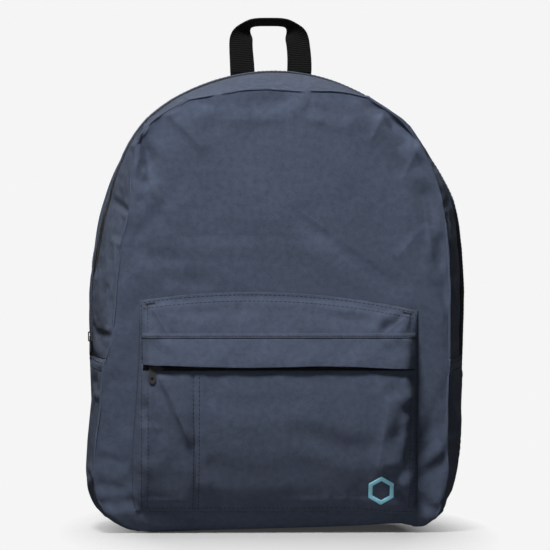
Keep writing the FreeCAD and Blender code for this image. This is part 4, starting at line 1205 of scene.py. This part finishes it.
for name, zs, depths, node in (
        ("pocket_tape_low", [135.5, 138.2, 141.0, 142.0, 143.6], [1.5, 1.5, 1.4, 1.2, 1.2], "pocket_zip_tape_lower"),
        ("pocket_tape_high", [145.0, 147.0, 149.4, 150.8, 154.5], [0.9, 0.9, 1.0, 1.5, 1.5], "pocket_zip_tape_upper")):
    grid = np.stack([along_pocket(z, -d)[0] for z, d in zip(zs, depths)])
    obj = dress(cloth_mesh(name, grid, grid[..., [0, 2]], thick=0.5), "tape")
    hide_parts(node)
    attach(obj, "bag")
for name, z, phase, node in (("pocket_coil_low", 142.7, 0.25, "pocket_zip_coil_lower"),
                             ("pocket_coil_high", 145.3, 0.75, "pocket_zip_coil_upper")):
    p, n = along_pocket(z, -0.7)
    obj = stamp(name, "tooth", [spaced(p, n, 1.5, start=phase)], 0.95, 3.0, 1.7, "coil")
    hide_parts(node)
    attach(obj, "bag")

flap_x = np.linspace(-117, 117, 157)
flap_s = np.linspace(0, 1, 19)
flap_rows = []
for s in flap_s:
    hem = 3.2 - 1.4 * flap_x / 117.0 + 0.5 * np.sin(flap_x / 26.0)
    z = flap_z - 0.2 + (flap_low_z - flap_z + hem) * s + 0.7 * s * np.sin(flap_x / 31.0) * bell(flap_x, 40, 80)
    p, n = along_pocket(z, 0.0, flap_x)
    away = 1.2 + 4.2 * s**0.9 + 0.5 * s * np.sin(flap_x / 17.0) + 0.35 * np.sin(flap_x / 6.5 + 5 * s)
    away = away * (0.45 + 0.55 * smooth_step(0, 16, 117 - np.abs(flap_x)))
    away = np.where(flap_x < -88, np.maximum(away, 1.3 + 4.4 * s), away)
    p[:, 1] = p[:, 1] - away
    p[:, 2] = z
    flap_rows.append(p)
flap_grid = refine(np.stack(flap_rows)[::-1], 2)
flap_grid[..., 1] = np.maximum(flap_grid[..., 1], -104.0)
flap = cloth_mesh("pocket_flap_cloth", flap_grid, flap_grid[..., [0, 2]], thick=1.1)
mark_inside(flap, flap_grid.shape)
dress(flap, "navy_oxford", "lining")
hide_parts("pocket_flap")
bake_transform(flap)
welt_rows = [along_pocket(z, lift, flap_x)[0] for z, lift in
             ((168.2, 0.2), (168.5, 0.7), (169.5, 0.9), (171.0, 0.8), (172.0, 0.6), (172.6, 0.1))]
welt_grid = refine(np.stack(welt_rows), 2)
welt = dress(cloth_mesh("pocket_flap_welt", welt_grid, welt_grid[..., [0, 2]], thick=0.4), "navy_oxford")
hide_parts("pocket_flap_seam")
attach(welt, "bag")

hexagon = np.radians(np.arange(30, 391, 60))
corner = np.stack([np.cos(hexagon), np.sin(hexagon)], 1)
around = np.vstack([corner[i] + (corner[i + 1] - corner[i]) * t for i in range(6) for t in np.linspace(0, 1, 9)[:-1]])
rings = []
for radius, lift in ((8.5, -0.1), (8.7, 0.2), (9.2, 0.3), (11.9, 0.3), (12.4, 0.2), (12.6, -0.1)):
    p, n = from_front(pocket_tree, 88.0 + around[:, 0] * radius, 37.0 + around[:, 1] * radius)
    rings.append(p + n * lift)
rings.append(rings[0] * 0.5 + rings[-1] * 0.5 + np.array([0, 0.4, 0]))
rings = np.stack(rings, 1)
loop = np.vstack([rings, rings[:1]])
faces = []
n_a, n_r = loop.shape[0] - 1, loop.shape[1]
for i in range(n_a):
    for j in range(n_r):
        faces.append([i * n_r + j, ((i + 1) % n_a) * n_r + j, ((i + 1) % n_a) * n_r + (j + 1) % n_r,
                      i * n_r + (j + 1) % n_r])
emblem = dress(new_object("print_ring", rings.reshape(-1, 3), faces, smooth=True), "print")
emblem.data.flip_normals()
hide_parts("emblem_print")
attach(emblem, "bag")
print("pocket zip, flap and print done")

# %% [markdown]
# ## Grab handle
# The handle is a flat webbing loop sewn to the back. Its legs face the front, and it twists a quarter turn on
# its way up, so at the top only the webbing's edge shows.

# %% Handle
foot_z = node_box("grab_handle")[0][2]
handle_top = node_box("grab_handle")[1][2]
leg_x = node_box("grab_handle")[1][0] - 19.0 / 2 - 1.5
hy = back_y + 0.8
half_path = np.array([(-leg_x, foot_z - 0.4), (-leg_x - 0.3, 407), (-leg_x - 0.3, 417), (-leg_x + 0.4, 426),
                      (-leg_x + 3.0, 434), (-leg_x + 7.5, 439.4), (-leg_x + 14.0, 441.3), (0.0, handle_top - 1.9)])
path = np.vstack([half_path, half_path[:-1][::-1] * np.array([-1, 1])])
path = refine(path[:, None, :].repeat(2, 1), 8)[:, 0]
centre = np.stack([path[:, 0], np.full(len(path), hy), path[:, 1]], 1)
centre[:, 0] -= 1.4 + 1.8 * smooth_step(400, 436, centre[:, 2])
tangent = unit(np.gradient(centre, axis=0))
in_plane = np.stack([tangent[:, 2], 0 * tangent[:, 0], -tangent[:, 0]], 1)
climb = smooth_step(421, 441.5, centre[:, 2]) ** 1.5
phi = np.radians(72) * climb
across = unit(in_plane * np.cos(phi)[:, None] + np.array([[0, 1.0, 0]]) * np.sin(phi)[:, None])
out = np.cross(tangent, across)
width = 20.6 + 0.9 * smooth_step(424, 398, centre[:, 2]) - 1.5 * climb
centre[:, 2] = np.minimum(centre[:, 2], handle_top - 1.5)
handle = ribbon("handle_webbing", centre, across, out, width, 1.7 + 0.7 * climb, count=24)
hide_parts("grab_handle")
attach(handle, "handle_body")
box_lines = []
for side in (-1, 1):
    x0, x1 = sorted((side * 14.6 - 1.4, side * 35.6 - 1.4))
    zs = np.linspace(383.1, 397.5, 15)
    foot, grid = patch(f"handle_foot_{'left' if side < 0 else 'right'}", zs, np.full(15, x0), np.full(15, x1),
                       back_y, 1.7, cols=20, soft=1.0, mat="black_webbing")
    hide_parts("grab_handle_anchors")
    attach(foot, "bag")
    q = np.array([(x0 + 2, 385), (x1 - 2, 385), (x1 - 2, 395.4), (x0 + 2, 395.4), (x0 + 2, 385), (x1 - 2, 395.4),
                  (x1 - 2, 385), (x0 + 2, 395.4)])
    for u, v in zip(q, q[1:]):
        t = np.linspace(0, 1, 8)[:, None]
        line = u + (v - u) * t
        on_back = np.stack([line[:, 0], np.full(8, back_y + 1.75), line[:, 1]], 1)
        box_lines.append((on_back, np.tile([0, 1.0, 0], (8, 1))))
sew("handle_stitches", box_lines, "bag", mat="dark_thread_and_seam_shade", pitch=2.2)
print("handle done")

# %% [markdown]
# ## Shoulder straps
# Each strap is a curved pad: crowned cloth outside, spacer mesh towards the wearer, and binding tape along
# its edge. Its top is sewn to the bag; the pad itself is not attached to a body.

# %% Straps
strap_top_z = node_box("strap_root_right")[1][2]
pad_end_z = node_box("strap_face_right")[0][2]
strap_back_y = node_box("strap_yoke")[1][1]
foot_point_z = 42.0
half_chord = (strap_top_z - foot_point_z) / 2
strap_r = (half_chord**2 + 40.0**2) / 80.0
strap_cy, strap_cz = strap_back_y + 40.0 - strap_r, (strap_top_z + foot_point_z) / 2
share = np.array([1.024, 0.873, 0.667, 0.464, 0.306, 0.188])
line_z = foot_point_z + share * (strap_top_z - foot_point_z)
scale_z = (line_z - 207.0) / 165.0
fit_x = np.polyfit(scale_z, [42, 47, 66, 91, 108, 119], 5)
fit_w = np.polyfit(scale_z, [27, 28, 30, 30, 26, 18], 5)


def strap_frames(zs):
    """Centre of the pad's inner face, its directions across and outward, and its half width."""
    s = (zs - 207.0) / 165.0
    y = strap_cy + np.sqrt(strap_r**2 - (zs - strap_cz) ** 2)
    c = np.stack([np.polyval(fit_x, s), y, zs], 1)
    o = np.stack([0 * zs, (y - strap_cy) / strap_r, (zs - strap_cz) / strap_r], 1)
    t = unit(np.gradient(c, axis=0))
    return c, unit(np.cross(t, o)), o, np.polyval(fit_w, s)


zs = np.linspace(strap_top_z - 0.3, pad_end_z + 0.3, 110)
c, across, out, half = strap_frames(zs)
from_end = np.minimum(zs - pad_end_z, 7.0) / 7.0
full = 0.35 + 0.65 * np.sqrt(np.clip(from_end, 0, 1))
PAD = 36
a = np.linspace(0, 2 * np.pi, PAD, endpoint=False)
u_sec = np.sign(np.cos(a)) * np.abs(np.cos(a)) ** 0.75
crowned = (1 - np.abs(u_sec) ** 4) ** 0.5
n_sec = np.where(np.sin(a) >= 0, 3.2 + 5.9 * crowned, 3.2 - 3.1 * crowned)
quilt = 0.35 * np.sin(zs / 7.0)[:, None] * crowned[None, :] * (np.sin(a) >= 0)
height_sec = 3.2 + (n_sec[None, :] - 3.2 + quilt) * full[:, None]
for sign, name in ((1, "right"), (-1, "left")):
    flip = np.array([sign, 1, 1])
    pts = (c[:, None] + across[:, None] * (u_sec[None, :, None] * half[:, None, None])
           + out[:, None] * height_sec[..., None])
    uv = np.stack(np.broadcast_arrays(u_sec[None, :] * half[:, None], zs[:, None]), 2)
    pad = sweep("strap_pad_" + name, pts * flip, uv, mats_of=lambda f: (f % PAD >= PAD // 2).astype(int))
    dress(pad, "navy_oxford", "spacer_mesh")
    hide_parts(*[f"strap_{k}_{name}" for k in ("root", "mesh", "foam", "face")])

    def swinging(obj, sign=sign, name=name):
        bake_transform(obj)

    swinging(pad)
    edge_out = c + across * half[:, None] + out * 3.2
    edge_in = (c - across * half[:, None] + out * 3.2)[::-1]
    turn = np.linspace(0, 1, 12)[1:-1, None]
    end = edge_out[-1] + (edge_in[0] - edge_out[-1]) * turn
    end[:, 2] -= 1.0 * np.sin(np.pi * turn[:, 0])
    rim_path = np.vstack([edge_out, end, edge_in])
    rim_t = unit(np.gradient(rim_path, axis=0))
    rim_o = np.vstack([out, np.tile(out[-1], (len(end), 1)), out[::-1]])
    rim_a = unit(np.cross(rim_t, rim_o))
    trim = ribbon("strap_edge_" + name, rim_path * flip, rim_o * flip, rim_a * flip, 6.4, 3.0, mat="binding", count=14)
    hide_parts("strap_binding_" + name)
    swinging(trim)
    lines = []
    for k in (-0.84, 0.84):
        top = 3.2 + 5.9 * (1 - abs(k) ** 4) ** 0.5 * full
        lines.append(((c + across * (k * half)[:, None] + out * (top + 0.1)[:, None]) * flip, out * flip))
    sew("strap_stitches_" + name, lines, None, blend_it=swinging)
    # wing tab in the side seam
    tz = np.linspace(22.3, 75.7, 34)
    inner = np.interp(tz, [22, 38, 56, 76], [146.5, 116.2, 122, 156])
    outer = np.interp(tz, [22, 39.6, 76], [148, 157.8, 157.8])
    left, right = (inner, outer) if sign > 0 else (-outer, -inner)
    tab, _ = patch("wing_tab_cloth_" + name, tz, left, right, back_y, 2.4, cols=30, soft=2.0)
    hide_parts("wing_tab_" + name)
    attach(tab, "bag")
    lines = []
    for k in (0.12, 0.2):
        x = (left + (right - left) * k) if sign > 0 else (right + (left - right) * k)
        on_tab = np.stack([x, np.full(len(tz), back_y + 2.42), tz], 1)[3:-3]
        lines.append((on_tab, np.tile([0, 1.0, 0], (len(tz) - 6, 1))))
    sew("wing_tab_stitches_" + name, lines, "bag")

yz = np.linspace(322, 375, 28)
yw = np.interp(yz, [322, 342, 375], [78, 78, 60])
yoke, _ = patch("yoke_cloth", yz, -yw, yw, back_y, 1.5, cols=64, soft=1.5)
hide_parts("strap_yoke")
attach(yoke, "bag")
lines = []
for inset in (2.5, 7.0):
    q = np.array([(-78 + inset, 322 + inset), (78 - inset, 322 + inset), (78 - inset, 341), (61 - inset, 375 - inset),
                  (-61 + inset, 375 - inset), (-78 + inset, 341), (-78 + inset, 322 + inset)])
    p = np.vstack([u + (v - u) * np.linspace(0, 1, 30)[:, None] for u, v in zip(q, q[1:])])
    lines.append((np.stack([p[:, 0], np.full(len(p), back_y + 1.52), p[:, 1]], 1), np.tile([0, 1.0, 0], (len(p), 1))))
sew("yoke_stitches", lines, "bag")
print("straps done")

# %% [markdown]
# ## Back, lining and inside tapes
# The back is quilted spacer mesh over foam: shallow channels divide it into pads. Inside there is a smooth
# lining, and binding tape covers the raw seams.

# %% Back and inside
back_ring = sides_fine[-1]
back_loop = back_ring[::2]
bg = coons(back_loop, cells=2)
bx, bz = bg[..., 0], bg[..., 2]
rim = np.minimum(np.minimum(np.arange(bg.shape[1]), np.arange(bg.shape[1])[::-1])[None, :],
                 np.minimum(np.arange(bg.shape[0]), np.arange(bg.shape[0])[::-1])[:, None])
channels = np.minimum(np.abs(np.abs(bx) - 22.0 - 0.00045 * (bz - 200.0) ** 2), np.abs(bz - 118.0) + 40 * (bz > 300))
channels = np.minimum(channels, np.abs(bz - 300.0))
dip = np.exp(-((channels / 4.0) ** 2)) * smooth_step(2, 10, rim)
quilted = 0.35 * smooth_step(0, 12, rim) - 1.9 * dip
bg[..., 1] = back_y + quilted * smooth_step(0, 6, rim)
back_pad = cloth_mesh("back_padding", bg, bg[..., [0, 2]] * np.array([1, 1]), thick=1.0, flip=True)
mark_inside(back_pad, bg.shape)
dress(back_pad, "spacer_mesh", "lining")
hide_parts("back_panel", "back_foam")
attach(back_pad, "bag")
inner_loop = back_ring[::4].copy()
middle = np.array([0.0, 0.0, 190.0])
inner_loop = middle + (inner_loop - middle) * np.array([0.975, 0, 0.975])
inner_loop[:, 1] = back_y - 9.4
lg = coons(inner_loop)
lining = cloth_mesh("back_lining_cloth", lg, lg[..., [0, 2]], thick=0.8, flip=False)
dress(lining, "lining")
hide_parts("back_lining")
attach(lining, "bag")


def inside_tape(name, base, inward, *nodes):
    """Binding tape standing on an inside seam: a thin band along the ring."""
    cols = len(base)
    sections = np.stack([base, base + inward[0], base + inward[0] + inward[1], base + inward[1]], 1)
    faces = []
    for i in range(cols):
        j = (i + 1) % cols
        for k in range(4):
            m = (k + 1) % 4
            faces.append([i * 4 + k, j * 4 + k, j * 4 + m, i * 4 + m])
    run = np.interp(np.arange(cols), np.arange(cols + 1), ring_run)
    uv = np.stack(np.broadcast_arrays(np.array([0, 1.2, 8, 8])[None, :], run[:, None]), 2)
    obj = new_object(name, sections.reshape(-1, 3), faces, uv.reshape(-1, 2), smooth=False)
    obj.data.flip_normals()
    dress(obj, "binding")
    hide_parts(*nodes)
    return obj


seam_line = sides_fine[0][::4]
to_axis = unit(np.stack([-seam_line[:, 0], 0 * seam_line[:, 0], 190.0 - seam_line[:, 2]], 1))
tape_front = inside_tape("seam_tape_front", seam_line + to_axis * 7.0 + np.array([0, 9.0, 0]),
                         (np.array([0, 1.1, 0]), to_axis * 7.5), "seam_binding_front", "seam_binding_flap")
bending(tape_front)
rear_line = sides_fine[-1][::4]
to_axis = unit(np.stack([-rear_line[:, 0], 0 * rear_line[:, 0], 190.0 - rear_line[:, 2]], 1))
tape_rear = inside_tape("seam_tape_rear", rear_line + to_axis * 2.5 + np.array([0, -11.4, 0]),
                        (np.array([0, 1.1, 0]), to_axis * 7.5), "seam_binding_rear")
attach(tape_rear, "bag")
print("back and inside done")

# %% [markdown]
# ## Topstitching
# Rows of stitches hold every folded edge: on the strips beside the zip, along the gusset seams, round the
# pocket, along the flap and on the pen seam. Short dense rows tie the pocket's upper corners.


# %% Stitches
def side_line(row_mm, cols, lift=0.0):
    """A line on the sides at a depth near the zip, over fine columns."""
    p, n = sample(sides_fine, side_normals, np.full(cols.shape, float(row_mm)), cols, closed=True)
    return p + n * lift, n


strip_lines = [side_line(zip_row - 2.2, zip_cols)]
sew("strip_stitches_front", strip_lines, None, blend_it=bending)
sew("strip_stitches_rear", [side_line(rear_row + 2.0, zip_cols)], "bag")
side_lines = []
for col, way in ((LEFT_COL * EDGE, 1), (RIGHT_COL * EDGE, -1)):
    for k in (2.0, 6.5):
        rows = np.linspace(2, len(sides_fine) - 3, 120)
        cols = np.full(rows.shape, float(col + way * k)) + way * 0.18 * (50 - rows) / 10
        p, n = sample(sides_fine, side_normals, rows, cols, closed=True)
        side_lines.append((p, n))
sew("gusset_stitches", side_lines, "bag")


def pocket_line(x, z, lift=0.0):
    p, n = from_front(pocket_tree, np.asarray(x, float), np.asarray(z, float))
    return p + n * lift, n


t = np.linspace(0, 1, 160)
lines = []
for inset in (1.8, 7.2):
    low = pocket_low_z + 5.0
    for side in (-1, 1):
        x = np.full(160, side * (pocket_half - inset))
        lines.append(pocket_line(x, low + t * (138 - low)))
        lines.append(pocket_line(x, 150 + t * (np.interp(side * 116, px, top_edge) - 153)))
xs = np.linspace(-pocket_half + 3, pocket_half - 3, 300)
for inset in (2.2, 7.4):
    lines.append(pocket_line(xs, np.interp(xs, px, top_edge) - inset))
lines.append(pocket_line(xs, np.interp(xs, px, low_edge) + 2.2))
for dx in (-2.4, 2.4):
    lines.append(pocket_line(np.full(160, pen_x + dx), 20 + t * 117))
lines.append(pocket_line(xs, np.full(300, 152.0)))
sew("pocket_stitches", lines, "bag")
welt_tree = bvh([welt_grid])
xs = np.linspace(-115, 115, 300)
p, n = from_front(welt_tree, xs, np.full(300, 170.2))
sew("flap_line", [(p, n)], "bag", mat="dark_thread_and_seam_shade", pitch=3.0)
flap_tree = bvh([flap_grid])
p, n = from_front(flap_tree, xs, np.full(300, 144.5))
tack_lines = []
for side in (-1, 1):
    for dz in (0.0, 0.7):
        x = side * np.linspace(106, 114, 12)
        tack_lines.append(pocket_line(x, np.interp(x, px, top_edge) - 4.5 + dz))
rows = [spaced(p + n * 0.3, n, 0.9) for p, n in tack_lines]
tacks = stamp("bar_tacks", "stitch", rows, 1.0, 1.0, 0.5, "dark_thread_and_seam_shade")
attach(tacks, "bag")
print("stitches done")

# %% [markdown]
# ## Pieces that keep their solid shape
# The sliders, pulls and ladder locks are hard parts whose shape is already right, and so is the short
# webbing at the locks. They get their materials.

# %% Finishes for carried-over nodes
for name, node in frame["nodes"].items():
    if node.hide_render:
        continue
    kind = ("black_metal" if "slider" in name or "pull" in name else
            "black_plastic" if "ladder" in name else
            "webbing_solid" if "webbing" in name or "foot" in name or "tail" in name or "loop" in name else
            "tape_solid")
    node.data.materials.clear()
    node.data.materials.append(mats[kind])
    print("kept", name, kind)

# %% [markdown]
# ## Stage
# A floor that looks grey to the camera, darker than the background, inside an oval round the bag, and fades into the
# background further out: a painted shadow round the bag, over the real shadow it catches. Three soft lamps
# light it: a key above and in front, a weak fill from low in front, and a wide one above and behind for the
# rim. The camera is far off with a long lens, a little to the left and above, so the bag looks almost flat.

# %% Floor, light and camera
bpy.ops.mesh.primitive_circle_add(vertices=96, radius=3.0, fill_type="NGON", location=(0, 0, -0.0004))
floor = bpy.context.object
floor.name = "floor"
pale = bpy.data.materials.new("floor")
pale.use_nodes = True
g = Graph(pale)
ray = g.node("ShaderNodeLightPath").outputs["Is Camera Ray"]
g.into("Base Color", g.colour(ray, (0.30, 0.30, 0.31), (0.56, 0.56, 0.56)))
g.shader.inputs["Emission Color"].default_value = (1, 1, 1, 1)
g.into("Emission Strength", g.math("MULTIPLY", ray, 0.04))
g.shader.inputs["Roughness"].default_value = 0.9
g.shader.inputs["Specular IOR Level"].default_value = 0.0
# painted shadow: the floor is grey for the camera inside an oval round the bag and fades to the background outside it
at = g.coords(False)
painted_shadow_oval = g.node("ShaderNodeVectorMath", {0: at, 1: (2.1, 0.8, 0.0), 2: (0, 0.04, 0)}, operation="MULTIPLY_ADD")
at = painted_shadow_oval.outputs["Vector"]
far = g.node("ShaderNodeVectorMath", {0: at}, operation="LENGTH").outputs["Value"]
painted_shadow_fade = g.ramp(far, 0.23, 0.40, 1.0, 0.0)
g.into("Alpha", painted_shadow_fade)
floor.data.materials.append(pale)

world = bpy.data.worlds.new("world")
bpy.context.scene.world = world
world.use_nodes = True
wt = world.node_tree
back_node = wt.nodes["Background"]
sky = wt.nodes.new("ShaderNodeBackground")
sky.inputs["Color"].default_value = (0.913, 0.913, 0.913, 1)
sky.inputs["Strength"].default_value = 1.0
back_node.inputs["Color"].default_value = (0.95, 0.97, 1.0, 1)
back_node.inputs["Strength"].default_value = 0.08
path_node = wt.nodes.new("ShaderNodeLightPath")
seen = wt.nodes.new("ShaderNodeMath")
seen.operation = "MAXIMUM"
wt.links.new(path_node.outputs["Is Camera Ray"], seen.inputs[0])
wt.links.new(path_node.outputs["Is Transmission Ray"], seen.inputs[1])
mix = wt.nodes.new("ShaderNodeMixShader")
wt.links.new(seen.outputs[0], mix.inputs[0])
wt.links.new(back_node.outputs[0], mix.inputs[1])
wt.links.new(sky.outputs[0], mix.inputs[2])
wt.links.new(mix.outputs[0], wt.nodes["World Output"].inputs["Surface"])


def lamp(name, place, size, energy, target=(0, 0, 0.2)):
    data = bpy.data.lights.new(name, "AREA")
    data.shape = "RECTANGLE"
    data.size, data.size_y = size
    data.energy = energy
    obj = bpy.data.objects.new(name, data)
    obj.location = place
    obj.rotation_euler = (Vector(target) - Vector(place)).to_track_quat("-Z", "Y").to_euler()
    bpy.context.collection.objects.link(obj)
    return obj


lamp("key", (-0.42, -1.10, 1.65), (0.40, 0.35), 40, target=(0, 0, 0.26))
lamp("fill", (-0.3, -2.6, 0.6), (0.9, 0.8), 5)
lamp("top", (0.0, 0.55, 2.3), (1.6, 0.9), 14)

camera_data = bpy.data.cameras.new("camera")
camera = bpy.data.objects.new("camera", camera_data)
bpy.context.collection.objects.link(camera)
azimuth, elevation, distance = math.radians(-2.4), math.radians(1.3), 5.0
aim = Vector((0.0, 0.0, 0.2205))
level = math.cos(elevation)
away = Vector((math.sin(azimuth) * level, -math.cos(azimuth) * level, math.sin(elevation)))
camera.location = aim + away * distance
camera.rotation_euler = (-away).to_track_quat("-Z", "Y").to_euler()
sensor, view_width = 36.0, 0.4785
camera_data.sensor_width = sensor
camera_data.lens = sensor * distance / view_width
bpy.context.scene.camera = camera
bpy.context.scene.view_settings.view_transform = "Standard"
